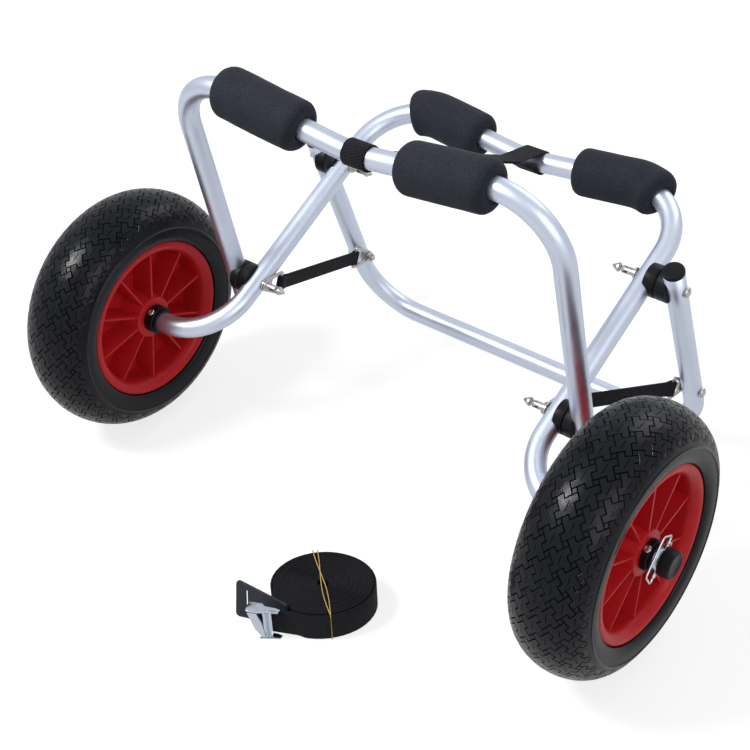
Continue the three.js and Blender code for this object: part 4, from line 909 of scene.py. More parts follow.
class CART_OT_tyres(Operator):
    """Moulds both tyres: a smooth-walled carcass with interlocking tread blocks"""

    bl_idname = "kayak_cart.tyres"
    bl_label = "Tyres"

    def execute(self, context):
        sizes = context.scene.cart_sizes
        count, depth = sizes.tread_blocks, sizes.tread_depth
        profile = self.carcass(depth)
        pitch = 2 * math.pi * TYRE_RADIUS / count
        for side, way in SIDES:
            bm = bmesh.new()
            centre = AXLE + ACROSS * way * WHEEL_X
            for j in range(-TREAD_ROWS_EACH_WAY, TREAD_ROWS_EACH_WAY + 1):
                place = j * TREAD_ROW / 2
                kinds = ((block_outline(pitch), (j + 1) % 2, True), (key_outline(pitch), j % 2, False))
                for outline, shift, siped in kinds:
                    block = tread_block(outline, place, siped)
                    self.set_block(bm, block, 0.5 * shift * pitch, place, depth, centre, way)
            bmesh.ops.spin(
                bm, geom=bm.verts[:] + bm.edges[:] + bm.faces[:], cent=centre, axis=ACROSS, dvec=(0, 0, 0),
                angle=2 * math.pi * (count - 1) / count, steps=count - 1, use_duplicate=True,
            )
            spun(bm, profile, centre, ACROSS, steps=180, start=UP)
            outward(bm)
            finished(f"{side}_tyre", bm, "tyre_rubber", f"wheel_{side}", [f"tyre_{side}"], crease=34)
        return {"FINISHED"}

    @staticmethod
    def set_block(bm, block, shift, place, depth, centre, way):
        """Wraps one flat block on the tyre at a distance round it and a place over it."""
        for vert in block.verts:
            over = vert.co.y + place
            rise = tread_depth_at(over, depth)
            sunk = rise * (1 - vert.co.z) + (0.0 if vert.co.z > 0 else 0.0003)
            x, r = on_tyre(over, sunk)
            angle = math.degrees((vert.co.x + shift) / TYRE_RADIUS * way)
            vert.co = centre + ACROSS * (x * way) + direction_at(angle) * r
        append_part(bm, block)

    @staticmethod
    def carcass(depth):
        """The tyre's closed section under its tread, with a fine ridge high on each smooth sidewall."""
        half_arc, count = TYRE_ARC[-1][0], 76
        outer = []
        for i in range(-count, count + 1):
            distance = half_arc * i / count
            x, r = on_tyre(distance, tread_depth_at(distance, depth) + 0.00005)
            ridge = 0.001 * math.exp(-(((r - SIDEWALL_RIDGE_RADIUS) / 0.0008) ** 2))
            lift = ridge if abs(distance) > TREAD_END else 0.0
            outer.append((x + math.copysign(lift, x), r))
        wall = []
        for i in range(1, 11):
            angle = math.pi / 2 * i / 10
            x = BEAD_HALF_WIDTH + (TYRE_HALF_WIDTH - BEAD_HALF_WIDTH) * math.cos(angle)
            wall.append((x, TYRE_WIDEST_RADIUS - (TYRE_WIDEST_RADIUS - FLANGE_RADIUS - 0.0004) * math.sin(angle)))
        wall += [(RIM_FACE - 0.0034, FLANGE_RADIUS + 0.0004), (RIM_FACE - 0.0034, SEAT_RADIUS + 0.0004)]
        profile = [(-x, r) for x, r in reversed(wall)] + outer + wall
        return profile + [profile[0]]


class CART_OT_rims(Operator):
    """Moulds both red rims with ribs on each face"""

    bl_idname = "kayak_cart.rims"
    bl_label = "Rims"

    def execute(self, context):
        count = context.scene.cart_sizes.rib_count
        bore, hub, hub_root, hub_end = TUBE_RADIUS + 0.0004, 0.022, 0.025, HUB_HALF_LENGTH
        web, barrel = 0.002, 0.0712
        half = [
            (hub_end - 0.001, bore),
            (hub_end, bore + 0.001),
            (hub_end, hub - 0.0016),
            (hub_end - 0.0005, hub - 0.0005),
            (hub_end - 0.0016, hub),
            (web + 0.004, hub_root - 0.0008),
            (web + 0.0008, hub_root + 0.0012),
            (web, hub_root + 0.0035),
            (web, barrel - 0.003),
            (web + 0.0009, barrel - 0.0009),
            (web + 0.003, barrel),
        ]
        for i in range(13):
            angle = math.pi / 2 * i / 12
            half.append((0.024 + (RIM_FACE - 0.024) * math.sin(angle), 0.0805 - (0.0805 - barrel) * math.cos(angle)))
        half += [
            (RIM_FACE, FLANGE_RADIUS - 0.0018),
            (RIM_FACE - 0.0007, FLANGE_RADIUS - 0.0005),
            (RIM_FACE - 0.0015, FLANGE_RADIUS),
            (RIM_FACE - 0.003, FLANGE_RADIUS),
            (RIM_FACE - 0.003, SEAT_RADIUS),
        ]
        profile = half + [(-x, r) for x, r in reversed(half)] + [half[0]]
        for side, way in SIDES:
            bm = bmesh.new()
            centre = AXLE + ACROSS * way * WHEEL_X
            spun(bm, profile, centre, ACROSS, steps=120, start=UP)
            for i in range(count):
                outwards = direction_at(10 + 360 * i / count)
                for face in (-1, 1):
                    self.add_rib(bm, centre, outwards, face, hub, barrel)
            outward(bm)
            finished(f"{side}_rim", bm, "red_plastic", f"wheel_{side}", [f"rim_{side}"], crease=38)
        return {"FINISHED"}

    @staticmethod
    def add_rib(bm, centre, outwards, face, hub, barrel):
        """A thin rib from hub to barrel on one face of the web, tall at the hub and low at the barrel."""
        made = bmesh.ops.create_cube(bm, size=1.0)["verts"]
        through = ACROSS.cross(outwards)
        for vert in made:
            at_barrel, raised = vert.co.x > 0, vert.co.y > 0
            reach = barrel + 0.001 if at_barrel else hub - 0.001
            height = (0.028 if at_barrel else 0.0285) if raised else 0.001
            thick = vert.co.z * (0.0022 if raised else 0.0028)
            vert.co = centre + outwards * reach + ACROSS * face * height + through * thick
        held = {vert for vert in made if abs((vert.co - centre).dot(ACROSS)) > 0.01}
        crest = [e for e in bm.edges if held.issuperset(e.verts) and e.calc_length() > 0.01]
        bevel_edges(bm, crest, 0.0005)


class CART_OT_saddles(Operator):
    """Sets a pair of saddle washers between each two legs"""

    bl_idname = "kayak_cart.saddles"
    bl_label = "Saddle Washers"

    def execute(self, context):
        pivots = (
            ("front_pivot", FRONT_PIVOT, FRONT_LEG_X, 0.0066, FRONT_FRAME_UP, "front_frame"),
            ("stand_pivot", STAND_PIVOT, STAND_LEG_X, 0.0108, STAND_DOWN, "stand"),
        )
        for word, pivot, leg, gap, outer_way, outer_body in pivots:
            joint = leg - TUBE_RADIUS - gap / 2
            for side, way in SIDES:
                for part, tube_x, along, out, body in (
                    ("inner", AXLE_LEG_X, AXLE_FRAME_UP, 1, "axle_frame"),
                    ("outer", leg, outer_way, -1, outer_body),
                ):
                    bm = bmesh.new()
                    start = joint - out * 0.00015
                    self.shape(bm, pivot, way, start, tube_x, along, out)
                    outward(bm)
                    node = f"{word}_{part}_saddle_{side}"
                    finished(f"{side}_{word}_{part}_washer", bm, "black_plastic", body, [node], crease=40)
        return {"FINISHED"}

    @staticmethod
    def shape(bm, pivot, way, start, tube_x, along, out):
        """A washer that is flat where it turns and hollowed to fit round its tube."""
        radius, wrap = 0.016, 0.007
        square = ACROSS.cross(along)
        inner_reach = TUBE_RADIUS + PART_GAP
        depth = abs(start - (tube_x + out * (inner_reach - wrap)))
        profile = [(0.0, 0.0), (0.0, radius - 0.0012), (0.0004, radius - 0.0004), (0.0012, radius)]
        profile += [(depth, radius * (1 - i / 12)) for i in range(13)]
        spun(bm, profile, pivot + ACROSS * way * start, ACROSS * (-out * way), steps=64, start=along)
        for vert in bm.verts:
            offset = vert.co - pivot
            reach = abs(offset.dot(square))
            if abs(abs(vert.co.x - way * start) - depth) < 1e-6:
                inside = math.sqrt(max(inner_reach**2 - reach**2, 0))
                vert.co.x = way * (tube_x + out * max(inside, inner_reach - wrap))


class CART_OT_axle_fittings(Operator):
    """Turns the collars, end caps, lock pins and wire bails on the axle"""

    bl_idname = "kayak_cart.axle_fittings"
    bl_label = "Axle Fittings"

    def execute(self, context):
        for side, way in SIDES:
            self.collar(side, way, -1, 0.014, "inner")
            self.collar(side, way, 1, 0.0096, "outer")
            self.end_cap(side, way)
            self.bail(side, way)
        return {"FINISHED"}

    @staticmethod
    def collar(side, way, out, length, word):
        start = WHEEL_X + out * (HUB_HALF_LENGTH + PART_GAP)
        bore, body, lip, lip_length = TUBE_RADIUS + PART_GAP, 0.0145, 0.0125, 0.003
        profile = [
            (0, bore),
            (0, body - 0.0008),
            (0.0008, body),
            (length - lip_length - 0.0008, body),
            (length - lip_length, body - 0.0008),
            (length - lip_length, lip),
            (length - 0.0006, lip),
            (length, lip - 0.0006),
            (length, bore),
            (0, bore),
        ]
        bm = bmesh.new()
        origin = AXLE + ACROSS * way * start
        spun(bm, profile, origin, ACROSS * way * out, steps=64)
        outward(bm)
        finished(f"{side}_{word}_stop_collar", bm, "black_plastic", "axle_frame", [f"{word}_collar_{side}"])
        bm = bmesh.new()
        screw_way = direction_at(120)
        seat = AXLE + ACROSS * way * (start + out * (length - lip_length) / 2) + screw_way * (body - 0.0004)
        head = [(-0.002, 0), (-0.002, 0.0018), (0, 0.0018), (0, 0.0033), (0.0009, 0.0035), (0.0016, 0.0029)]
        head += [(0.0019, 0.0016), (0.0012, 0.0015), (0.0009, 0.0)]
        spun(bm, head, seat, screw_way, steps=24)
        outward(bm)
        finished(f"{side}_{word}_stop_screw", bm, "zinc_steel", "axle_frame", [f"{word}_collar_screw_{side}"])

    @staticmethod
    def end_cap(side, way):
        bm = bmesh.new()
        radius, thick, bore = 0.013, 0.006, TUBE_RADIUS + PART_GAP
        profile = [(-0.006, 0), (-0.006, 0.0070), (0, 0.0070), (0, bore), (-0.0055, bore)]
        profile += [(-0.0055, radius - 0.0006), (-0.0051, radius)]
        profile += [(thick - 0.0016, radius), (thick - 0.0005, radius - 0.0005), (thick, radius - 0.0016)]
        profile += [(thick, radius - 0.0028), (thick - 0.0004, radius - 0.0034), (thick - 0.0004, 0)]
        spun(bm, profile, AXLE + ACROSS * way * (AXLE_END_X + PART_GAP), ACROSS * way, steps=64)
        outward(bm)
        finished(f"{side}_axle_cap", bm, "black_plastic", "axle_frame", [f"axle_end_cap_{side}"])

    @staticmethod
    def bail(side, way):
        """The lock pin, and its sprung wire bowed round the tube."""
        pin_way, bow_way = direction_at(45), direction_at(135)
        centre = AXLE + ACROSS * way * LOCK_PIN_X
        bm = bmesh.new()
        profile = [(-0.017, 0), (-0.017, 0.0012), (-0.0162, 0.002), (0.0140, 0.002), (0.0140, 0.0030)]
        profile += [(0.0144, 0.0032), (0.0166, 0.0032), (0.017, 0.0028), (0.017, 0)]
        spun(bm, profile, centre, pin_way, steps=24)
        outward(bm)
        finished(f"{side}_lock_pin", bm, "zinc_steel", "axle_frame", [f"lock_pin_{side}"])
        start, reach, bow, bend = 0.0173, 0.0226, 0.015, 0.004
        corners = [(start, 0), (reach, 0), (reach - bend, bow), (bend - reach, bow), (-reach, 0), (-start, 0)]
        corners = [centre + pin_way * a + bow_way * o for a, o in corners]
        route = Route(corners, [0.0022, bend, bend, 0.0022], ACROSS)
        bm = bmesh.new()
        frames = [route.frame(d) for d in route.stations(bend_step=0.0005, run_step=0.02)]
        sweep(bm, frames, round_section(0.0011, 16))
        outward(bm)
        finished(f"{side}_wire", bm, "chrome_steel", f"bail_{side}", [f"wire_bail_{side}"])


class CART_OT_pins(Operator):
    """Turns the drop-nose pins, stand bolts and stand caps, and presses the webbing brackets"""

    bl_idname = "kayak_cart.pins"
    bl_label = "Pins and Bolts"

    def execute(self, context):
        for side, way in SIDES:
            self.pin(side, way, FRONT_PIVOT, FRONT_LEG_X, 2 * BRACKET_ROOM, "front_pivot")
            self.pin(side, way, STAND_PIVOT, STAND_LEG_X, PART_GAP, "stand_pivot")
            self.nose(side, way, FRONT_PIVOT, "front")
            self.nose(side, way, STAND_PIVOT, "stand")
            self.bolt(side, way)
            self.cap(side, way)
            self.pressing(side, "front_strap_bracket", "axle_frame")
            self.pressing(side, "rear_strap_bracket", "stand")
            self.pressing(side, "stand_nut", "stand")
        return {"FINISHED"}

    @staticmethod
    def pressing(side, node, body):
        bm = softened(f"{node}_{side}", 0.0004)
        outward(bm)
        finished(f"{side}_pressed_{node}", bm, "zinc_steel", body, [f"{node}_{side}"], crease=30)

    @staticmethod
    def pin(side, way, pivot, leg, room, word):
        """A domed head and shaft, a flange inside the leg, and a sleeve slotted into two prongs for the nose."""
        fork_start, fork_end, sleeve, flange, head = 0.1640, 0.1574, 0.0036, 0.006, 0.0055
        head_start, flange_end = leg + TUBE_RADIUS + PART_GAP, AXLE_LEG_X - TUBE_RADIUS - room
        profile = dome(head_start + 0.0006, 0.0034, head)
        profile += [(head_start, head), (head_start, 0.003), (flange_end, 0.003), (flange_end, flange - 0.0003)]
        profile += [(flange_end - 0.0003, flange), (flange_end - 0.0017, flange), (flange_end - 0.002, flange - 0.0003)]
        profile += [(flange_end - 0.002, sleeve + 0.0004), (flange_end - 0.0024, sleeve)]
        profile += [(fork_start, sleeve), (fork_start, 0)]
        bm = bmesh.new()
        spun(bm, profile, pivot, ACROSS * way, steps=32)
        for over in (-1, 1):
            first = math.asin(0.0014 / sleeve)
            section = [
                (sleeve * math.cos(a), over * sleeve * math.sin(a))
                for a in (first + (math.pi - 2 * first) * i / 10 for i in range(11))
            ]
            places = (fork_start + 0.0002, fork_end + 0.0006, fork_end)
            frames = [placed(direction_at(0), UP, ACROSS, pivot + ACROSS * way * x) for x in places]
            sweep(bm, frames, section, [1.0, 1.0, 0.9])
        for over in (-1, 1):
            rivet = [(-0.0003, 0), (-0.0003, 0.0011), (0.0003, 0.0009), (0.0005, 0)]
            spun(bm, rivet, pivot + ACROSS * way * NOSE_PIVOT_X + UP * over * sleeve, UP * over, steps=16)
        outward(bm)
        finished(f"{side}_{word}_drop_pin", bm, "zinc_steel", "axle_frame", [f"{word}_pin_{side}"], crease=32)

    @staticmethod
    def nose(side, way, pivot, word):
        """A pointed nose, faceted where it tapers, on a round-ended tang."""
        bm = bmesh.new()
        base, radius = 0.1546, 0.0045
        profile = [(base, 0), (base, radius - 0.0005), (base - 0.0005, radius), (base - 0.0021, radius)]
        profile += [(base - 0.0026, radius - 0.0006), (base - 0.0074, 0.0014)]
        profile += [(base - 0.008, 0.0008), (base - 0.008, 0)]
        spun(bm, profile, pivot, ACROSS * way, steps=12)
        tang = 0.0027
        outline = [(-0.0064, -tang), (0, -tang)]
        outline += [(tang * math.sin(a), -tang * math.cos(a)) for a in (math.pi * i / 10 for i in range(1, 10))]
        outline += [(0, tang), (-0.0064, tang)]
        hinge = pivot + ACROSS * way * NOSE_PIVOT_X
        matrix = placed(ACROSS * way, UP.cross(ACROSS * way), UP, hinge - UP * 0.001)
        plate(bm, outline, 0.002, matrix, 0.0002)
        outward(bm)
        node = f"{word}_pivot_pin_nose_{side}"
        finished(f"{side}_{word}_bullet", bm, "zinc_steel", f"{word}_nose_{side}", [node], crease=24)

    @staticmethod
    def bolt(side, way):
        bm = bmesh.new()
        start, end, head = STAND_LEG_X + TUBE_RADIUS + PART_GAP, 0.19415, 0.0055
        profile = dome(start + 0.0008, 0.0028, head)
        profile += [(start, head), (start, 0.003), (end + 0.00055, 0.003), (end, 0.0025), (end, 0)]
        spun(bm, profile, STAND_BOLT, ACROSS * way, steps=32)
        outward(bm)
        finished(f"{side}_dome_bolt", bm, "zinc_steel", "stand", [f"stand_bolt_{side}"])

    @staticmethod
    def cap(side, way):
        bm = bmesh.new()
        r, thick = TUBE_RADIUS + 0.0004, 0.004
        profile = [(-0.004, 0), (-0.004, 0.0072), (0, 0.0072), (0, r), (thick - 0.0012, r)]
        profile += [(thick - 0.0003, r - 0.0004), (thick, r - 0.0013), (thick, 0)]
        origin = along_plane(STAND_PIVOT, way * STAND_LEG_X, STAND_DOWN, -STAND_TAIL - PART_GAP)
        spun(bm, profile, origin, -STAND_DOWN, steps=48)
        outward(bm)
        finished(f"{side}_stand_plug", bm, "black_plastic", "stand", [f"stand_cap_{side}"])


def strap_loop(start, end, across, bar, thickness, reaches):
    """Frames round a strap that is folded over two bars and sewn flat between them."""
    along = (end - start).normalized()
    across = (across - along * across.dot(along)).normalized()
    up = across.cross(along)
    length = (end - start).length
    radius = bar + thickness / 2
    outline = []
    for centre, reach, way in ((0.0, reaches[0], 1), (length, reaches[1], -1)):
        slope = math.atan2(thickness / 2, reach) + math.acos(radius / math.hypot(reach, thickness / 2))
        count = 28
        arc = []
        for i in range(count + 1):
            angle = slope + (2 * math.pi - 2 * slope) * i / count
            arc.append((centre + way * radius * math.cos(angle), radius * math.sin(angle) * way))
        outline.append(arc)
    near, far = outline
    flat = thickness / 2
    places = near + [(reaches[0], -flat)]
    places += spaced(reaches[0], length - reaches[1], -flat)
    places += [(length - reaches[1], -flat)] + far + [(length - reaches[1], flat)]
    places += spaced(length - reaches[1], reaches[0], flat)
    places += [(reaches[0], flat)]
    points = [start + along * x + up * y for x, y in places]
    frames = []
    for i, point in enumerate(points):
        heading = points[(i + 1) % len(points)] - points[i - 1]
        frames.append(frame_from(across, heading, point))
    return frames


def spaced(start, end, height):
    """Places along a strap's run, about a centimetre apart, at a height off its middle."""
    count = max(2, round(abs(end - start) / 0.01))
    return [(start + (end - start) * i / count, height) for i in range(1, count)]


def bar_under(route, shift, width):
    """The middle of the stretch of a bar that a strap covers."""
    middle = route.total / 2 + shift
    return (route.at(middle - width / 2)[0] + route.at(middle + width / 2)[0]) / 2


class CART_OT_straps(Operator):
    """Sews the top strap over both bars and the two lower straps to their brackets"""

    bl_idname = "kayak_cart.straps"
    bl_label = "Straps"

    def execute(self, context):
        thick = WEBBING_THICKNESS
        start = bar_under(FRONT_ROUTE, 0.0051, TOP_STRAP_WIDTH)
        end = bar_under(AXLE_ROUTE, 0.007, TOP_STRAP_WIDTH)
        bar = TUBE_RADIUS + 0.0008
        frames = strap_loop(start, end, ACROSS, bar, thick, (bar + 0.018, bar + 0.034))
        bm = bmesh.new()
        sweep(bm, frames, flat_section(TOP_STRAP_WIDTH, thick), closed=True)
        outward(bm)
        map_from_layers(bm)
        piece = finished("top_webbing", bm, "webbing", None, ["top_strap"], crease=50)
        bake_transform(piece, "front_frame", "axle_frame", start=start, end=end)
        run, reach = LOWER_RUN, BRACKET_LENGTH
        for side, way in SIDES:
            front = along_plane(FRONT_PIVOT, way * (AXLE_LEG_X - TUBE_RADIUS - BRACKET_ROOM), run, reach)
            rear = along_plane(STAND_BOLT, way * (STAND_LEG_X - TUBE_RADIUS - BRACKET_ROOM), run, -reach)
            bar, wide = BRACKET_BAR_RADIUS, ACROSS.cross(run)
            frames = strap_loop(front, rear, wide, bar, thick, (bar + 0.009, bar + 0.009))
            bm = bmesh.new()
            sweep(bm, frames, flat_section(LOWER_STRAP_WIDTH, thick), closed=True)
            outward(bm)
            map_from_layers(bm)
            piece = finished(f"{side}_lower_webbing", bm, "webbing", None, [f"lower_strap_{side}"], crease=50)
            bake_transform(piece, "axle_frame", "stand", start=front, end=rear)
        return {"FINISHED"}


def pressed(place):
    """A place, given from the roll's middle, after the roll is pressed along its short way."""
    return place + ROLL_SHORT_WAY * ((ROLL_DEPTH_SHARE - 1) * place.dot(ROLL_SHORT_WAY))


def facing_angle(outwards):
    place = pressed(outwards)
    return math.atan2(place.y, place.x)


def roll_place(turns, loops):
    """The rolled ribbon's centre line at a number of turns from the core; the last turn is slightly loose."""
    outer = ROLL_RADIUS - ROLL_THICKNESS / 2
    loose = max(turns - (loops - ROLL_LOOSE_LOOPS), 0) / ROLL_LOOSE_LOOPS
    radius = ROLL_CORE_RADIUS + (outer - ROLL_CORE_RADIUS) * turns / loops + ROLL_LOOSE_GAP * loose**2
    angle = facing_angle(TAIL_SIDE) + (loops - turns) * 2 * math.pi
    return ROLL_CENTRE + pressed(Vector((math.cos(angle), math.sin(angle), 0)) * radius)


class CART_OT_strap_roll(Operator):
    """Winds the tie-down strap and ties it with gold thread"""

    bl_idname = "kayak_cart.strap_roll"
    bl_label = "Strap Roll"

    def execute(self, context):
        loops = context.scene.cart_sizes.roll_loops
        count = loops * 48
        points, rises = [], []
        for i in range(count + 1):
            turns = loops * i / count
            points.append(roll_place(turns, loops))
            angle = 2 * math.pi * turns
            wobble = noise.noise(Vector((math.cos(angle) * 1.4, math.sin(angle) * 1.4, turns * 0.7)))
            rises.append(0.0003 + 0.0004 * wobble + 0.00025 * math.sin(turns * 2.7))
        settle, tail, lift = rises[-1], points[-1], 0.0023
        for reach in (0.003, 0.006, 0.009, 0.016, 0.026, 0.036, 0.046):
            share = min(1.0, reach / 0.009)
            points.append(tail + TAIL_WAY * reach)
            rises.append(settle + (lift - settle) * share * share * (3 - 2 * share))
        bm = bmesh.new()
        frames = []
        for i, point in enumerate(points):
            heading = points[min(i + 1, len(points) - 1)] - points[max(i - 1, 0)]
            flat = frame_from(UP, heading, point + UP * (ROLL_HEIGHT / 2 + rises[i]))
            swell = self.swelling(loops * i / count, loops, flat.col[1].to_3d())
            frames.append(flat @ Matrix.Diagonal((1, swell, 1, 1)))
        sweep(bm, frames, flat_section(ROLL_HEIGHT - 0.0008, ROLL_THICKNESS))
        outward(bm)
        map_from_layers(bm)
        finished("rolled_webbing", bm, "webbing", "strap_kit", ["strap_roll"], crease=50)
        self.tie(loops)
        return {"FINISHED"}

    @staticmethod
    def swelling(turns, loops, through):
        """How much the webbing swells inside the roll, where its turns lie against each other."""
        spacing = (ROLL_RADIUS - ROLL_THICKNESS / 2 - ROLL_CORE_RADIUS) / loops * pressed(through).length
        inside = min(1.0, max(0.0, (loops - 0.9 - turns) / 0.2))
        return 1 + inside * ((spacing - 0.00003) / ROLL_THICKNESS - 1)

    @staticmethod
    def tie(loops):
        """Two thin gold strands round the roll that cross on its top and meet again at its foot."""
        beside = Vector((-TIE_WAY.y, TIE_WAY.x, 0))
        turned = (facing_angle(TAIL_SIDE) - math.atan2(TIE_WAY.y, TIE_WAY.x)) / (2 * math.pi)
        near = (roll_place(loops + turned, loops) - ROLL_CENTRE).length + ROLL_THICKNESS / 2 + 0.0009
        far = (roll_place(loops + turned - 0.5, loops) - ROLL_CENTRE).length + ROLL_THICKNESS / 2 + 0.0008
        low, high = 0.0008, ROLL_HEIGHT + 0.0012
        corners = [(-far, low), (-far, high), (near, high), (near, low)]
        bm = bmesh.new()
        for strand, sign in ((0, 1), (1, -1)):
            points = []
            for i in range(4):
                a, b = corners[i], corners[(i + 1) % 4]
                steps = 30 if i == 1 else 10
                for k in range(steps):
                    share = k / steps
                    along, height = a[0] + (b[0] - a[0]) * share, a[1] + (b[1] - a[1]) * share
                    spread = 0.0021 * math.cos((along + far) / (near + far) * math.pi * 1.5)
                    if i == 2:
                        spread *= -0.7 * (1 - share) ** 2
                    slack = 0.0006 * math.sin(share * math.pi) * (i == 1)
                    rise = height - slack + strand * 0.0004
                    points.append(ROLL_CENTRE + TIE_WAY * along + beside * spread * sign + UP * rise)
            frames = []
            for i, point in enumerate(points):
                heading = points[(i + 1) % len(points)] - points[i - 1]
                frames.append(frame_from(beside, heading, point))
            sweep(bm, frames, round_section(0.0005, 8), closed=True)
        outward(bm)
        map_from_layers(bm)
        finished("gold_tie", bm, "gold_elastic", "strap_kit", ["strap_tie_band"], crease=60)


class CART_OT_buckle(Operator):
    """Presses the cam buckle and its lever, and cuts the flap behind it"""

    bl_idname = "kayak_cart.buckle"
    bl_label = "Cam Buckle"

    def execute(self, context):
        loops = context.scene.cart_sizes.roll_loops
        self.tail = roll_place(loops, loops)
        self.frame()
        self.lever()
        self.flap()
        return {"FINISHED"}

    def at(self, along, out, up):
        """A place by its distance from the buckle's roll end, out from the webbing, and up from the buckle's foot."""
        return self.tail + TAIL_WAY * (BUCKLE_START + along) + TAIL_SIDE * out + UP * (BUCKLE_LIFT + up)

    def frame(self):
        """Two ears, the lower one shorter, joined by a back plate, with the axle's rivets."""
        ear = [
            (0.0318, -0.0020), (0.0310, -0.00265), (0.0190, -0.00265), (0.0155, 0.0004), (0.0050, 0.0008),
            (0.0004, 0.0022), (0.0016, 0.0062), (0.0090, 0.0072), (0.0200, 0.0092), (0.0305, 0.0093), (0.0318, 0.0080),
        ]
        bm = bmesh.new()
        for foot, end in ((0.0, 0.0205), (BUCKLE_HEIGHT - 0.0014, 0.0318)):
            short = 0.0 if foot else 0.0002
            outline = [(min(a, end), o + short) for a, o in ear]
            plate(bm, outline, 0.0014, placed(TAIL_WAY, TAIL_SIDE, UP, self.at(0, 0, foot)), 0.0003)
        top = BUCKLE_HEIGHT - 0.0012
        back = [(0.0176, 0.0012), (0.0202, 0.0012), (0.0290, 0.0170), (0.0316, top), (0.0192, top)]
        plate(bm, back, 0.0013, placed(TAIL_WAY, UP, -TAIL_SIDE, self.at(0, -0.0013, 0)), 0.0002)
        for foot, way in ((0.0, -1), (BUCKLE_HEIGHT, 1)):
            rivet = [(-0.0004, 0), (-0.0004, 0.0019), (0.0, 0.0019), (0.0003, 0.0017), (0.0003, 0.0008), (0.0001, 0)]
            spun(bm, rivet, self.at(*LEVER_AXLE, foot), UP * way, steps=24)
        outward(bm)
        finished("cam_buckle", bm, "chrome_steel", "strap_kit", ["buckle_frame"], crease=30)

    def lever(self):
        """The cam's toothed barrel and the thumb plate that leans away from it."""
        bm = bmesh.new()
        low, high = 0.0020, BUCKLE_HEIGHT - 0.0020
        teeth = []
        for i in range(24):
            angle = 2 * math.pi * i / 24
            radius = 0.0040 if i % 2 else 0.0028
            teeth.append((radius * math.cos(angle), radius * math.sin(angle)))
        heights = (low, low + 0.0005, high - 0.0005, high)
        frames = [placed(TAIL_WAY, TAIL_SIDE, UP, self.at(*LEVER_AXLE, height)) for height in heights]
        sweep(bm, frames, teeth, [0.85, 1.0, 1.0, 0.85])
        thumb = [(0.0140, 0.0026), (0.0180, 0.0030), (0.0240, 0.0110)]
        thumb += [(0.0304, 0.0310), (0.0216, 0.0318), (0.0170, 0.0200)]
        plate(bm, thumb, 0.0015, placed(TAIL_WAY, UP, -TAIL_SIDE, self.at(0, 0.00925, 0)), 0.0004)
        outward(bm)
        finished("cam_lever", bm, "chrome_steel", "buckle_cam", ["buckle_lever"], crease=30)

    @staticmethod
    def flap():
        """The smooth flap, a softened copy of its solid that swings out and leans towards its free end."""
        bm = softened("buckle_flap", 0.0003)
        low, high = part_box("buckle_flap")
        for i in range(1, 12):
            place = Vector((high.x, high.y, 0)) + FLAP_WAY * i * 0.0048
            whole = bm.verts[:] + bm.edges[:] + bm.faces[:]
            bmesh.ops.bisect_plane(bm, geom=whole, plane_co=place, plane_no=FLAP_WAY)
        for vert in bm.verts:
            reach = (high.x - vert.co.x) / (high.x - low.x)
            height = (vert.co.z - low.z) / (high.z - low.z)
            vert.co.x += reach * (0.0012 - 0.0067 * height)
            vert.co.y += reach**1.5 * (0.0122 * height - 0.0131)
        outward(bm)
        finished("slotted_flap", bm, "flap_plastic", "strap_kit", ["buckle_flap"], crease=30)


def background_rays(tree, rays):
    """1 for the camera's rays and for those through glass, and somewhat less for reflections."""
    reflected = math_node(tree, "MULTIPLY", rays.outputs["Is Glossy Ray"], 0.6)
    through = math_node(tree, "MAXIMUM", rays.outputs["Is Camera Ray"], rays.outputs["Is Transmission Ray"])
    return math_node(tree, "MAXIMUM", through, reflected)


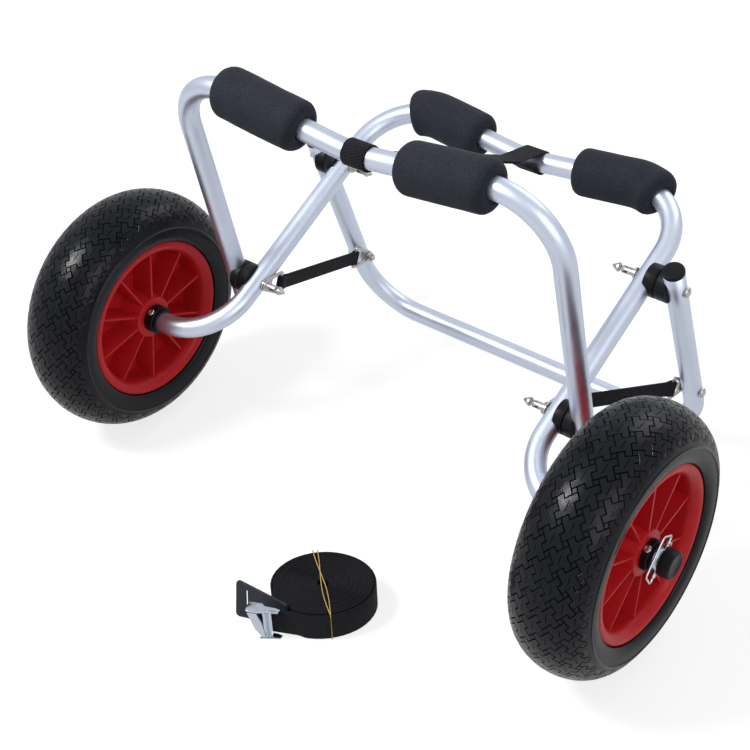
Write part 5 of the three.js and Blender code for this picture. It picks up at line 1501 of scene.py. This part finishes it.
class CART_OT_stage(Operator):
    """Sets the camera, the pale floor and the soft studio light"""

    bl_idname = "kayak_cart.stage"
    bl_label = "Stage"

    def execute(self, context):
        self.camera(context)
        self.floor()
        self.light()
        context.scene.view_settings.view_transform = "Standard"
        return {"FINISHED"}

    @staticmethod
    def camera(context):
        data = bpy.data.cameras.new("Camera")
        data.lens, data.sensor_width, data.sensor_fit = 76.964, 36.0, "HORIZONTAL"
        data.clip_start, data.clip_end = 0.05, 60.0
        camera = bpy.data.objects.new("Camera", data)
        context.scene.collection.objects.link(camera)
        azimuth, elevation, roll = math.radians(40.85), math.radians(37.23), math.radians(-3.0)
        ahead = Vector((
            -math.sin(azimuth) * math.cos(elevation), math.cos(azimuth) * math.cos(elevation), -math.sin(elevation)
        ))
        level = Vector((math.cos(azimuth), math.sin(azimuth), 0))
        upward = level.cross(ahead)
        right = level * math.cos(roll) + upward * math.sin(roll)
        top = upward * math.cos(roll) - level * math.sin(roll)
        camera.matrix_world = placed(right, top, -ahead, Vector((0.7967, -0.9503, 1.0724)))
        context.scene.camera = camera

    @staticmethod
    def floor():
        bm = bmesh.new()
        bmesh.ops.create_grid(bm, x_segments=1, y_segments=1, size=14.0)
        bmesh.ops.translate(bm, vec=(0, 0, -0.0004), verts=bm.verts)
        mesh = bpy.data.meshes.new("floor")
        bm.to_mesh(mesh)
        bm.free()
        material = bpy.data.materials.new("Studio Floor")
        material.use_nodes = True
        tree = material.node_tree
        shader = tree.nodes["Principled BSDF"]
        shader.inputs["Base Color"].default_value = (0.4, 0.4, 0.4, 1)
        shader.inputs["Roughness"].default_value = 0.9
        shader.inputs["Specular IOR Level"].default_value = 0.1
        rays = add_node(tree, "ShaderNodeLightPath")
        glow = math_node(tree, "MULTIPLY", background_rays(tree, rays), 0.76)
        shader.inputs["Emission Color"].default_value = (1, 1, 1, 1)
        tree.links.new(glow, shader.inputs["Emission Strength"])
        mesh.materials.append(material)
        floor = bpy.data.objects.new("floor", mesh)
        bpy.context.scene.collection.objects.link(floor)

    @staticmethod
    def light():
        world = bpy.data.worlds.new("Studio")
        bpy.context.scene.world = world
        world.use_nodes = True
        tree = world.node_tree
        backdrop = tree.nodes["Background"]
        rays = add_node(tree, "ShaderNodeLightPath")
        strength = math_node(tree, "MULTIPLY_ADD", background_rays(tree, rays), 0.7, 0.3)
        backdrop.inputs["Color"].default_value = (0.96, 0.98, 1.0, 1)
        tree.links.new(strength, backdrop.inputs["Strength"])
        lamps = (
            ("key", (-0.9, -1.1, 1.9), 0.55, 32.0),
            ("fill", (1.9, -0.6, 1.2), 1.4, 11.0),
            ("rim", (0.2, 1.8, 1.6), 1.2, 9.0),
        )
        for name, place, size, power in lamps:
            data = bpy.data.lights.new(name, "AREA")
            data.shape, data.size, data.energy = "SQUARE", size, power
            lamp = bpy.data.objects.new(name, data)
            lamp.location = place
            lamp.rotation_mode = "QUATERNION"
            lamp.rotation_quaternion = (Vector((0, 0, 0.15)) - Vector(place)).to_track_quat("-Z", "Y")
            bpy.context.scene.collection.objects.link(lamp)


class CART_OT_materials(Operator):
    """Mixes the cart's materials"""

    bl_idname = "kayak_cart.materials"
    bl_label = "Materials"

    def execute(self, context):
        make_materials(context.scene.cart_finishes)
        return {"FINISHED"}


class CART_PT_panel(Panel):
    """The cart's sizes, colours and pieces"""

    bl_idname = "CART_PT_panel"
    bl_label = "Kayak Cart"
    bl_space_type = "VIEW_3D"
    bl_region_type = "UI"
    bl_category = "Kayak Cart"

    def draw(self, context):
        for group in (context.scene.cart_sizes, context.scene.cart_finishes):
            box = self.layout.box()
            for name in group.__annotations__:
                box.prop(group, name)
        column = self.layout.column(align=True)
        for operator in OPERATORS:
            column.operator(operator.bl_idname)


OPERATORS = (
    CART_OT_materials,
    CART_OT_stage,
    CART_OT_tubes,
    CART_OT_pads,
    CART_OT_tyres,
    CART_OT_rims,
    CART_OT_saddles,
    CART_OT_axle_fittings,
    CART_OT_pins,
    CART_OT_straps,
    CART_OT_strap_roll,
    CART_OT_buckle,
)
CLASSES = (CartSizes, CartFinishes, *OPERATORS, CART_PT_panel)


def register():
    for cls in CLASSES:
        bpy.utils.register_class(cls)
    bpy.types.Scene.cart_sizes = PointerProperty(type=CartSizes)
    bpy.types.Scene.cart_finishes = PointerProperty(type=CartFinishes)


def unregister():
    del bpy.types.Scene.cart_finishes
    del bpy.types.Scene.cart_sizes
    for cls in reversed(CLASSES):
        bpy.utils.unregister_class(cls)


def main():
    register()
    for operator in OPERATORS:
        group, name = operator.bl_idname.split(".")
        getattr(getattr(bpy.ops, group), name)()
    bpy.context.view_layer.update()


if __name__ == "__main__":
    main()
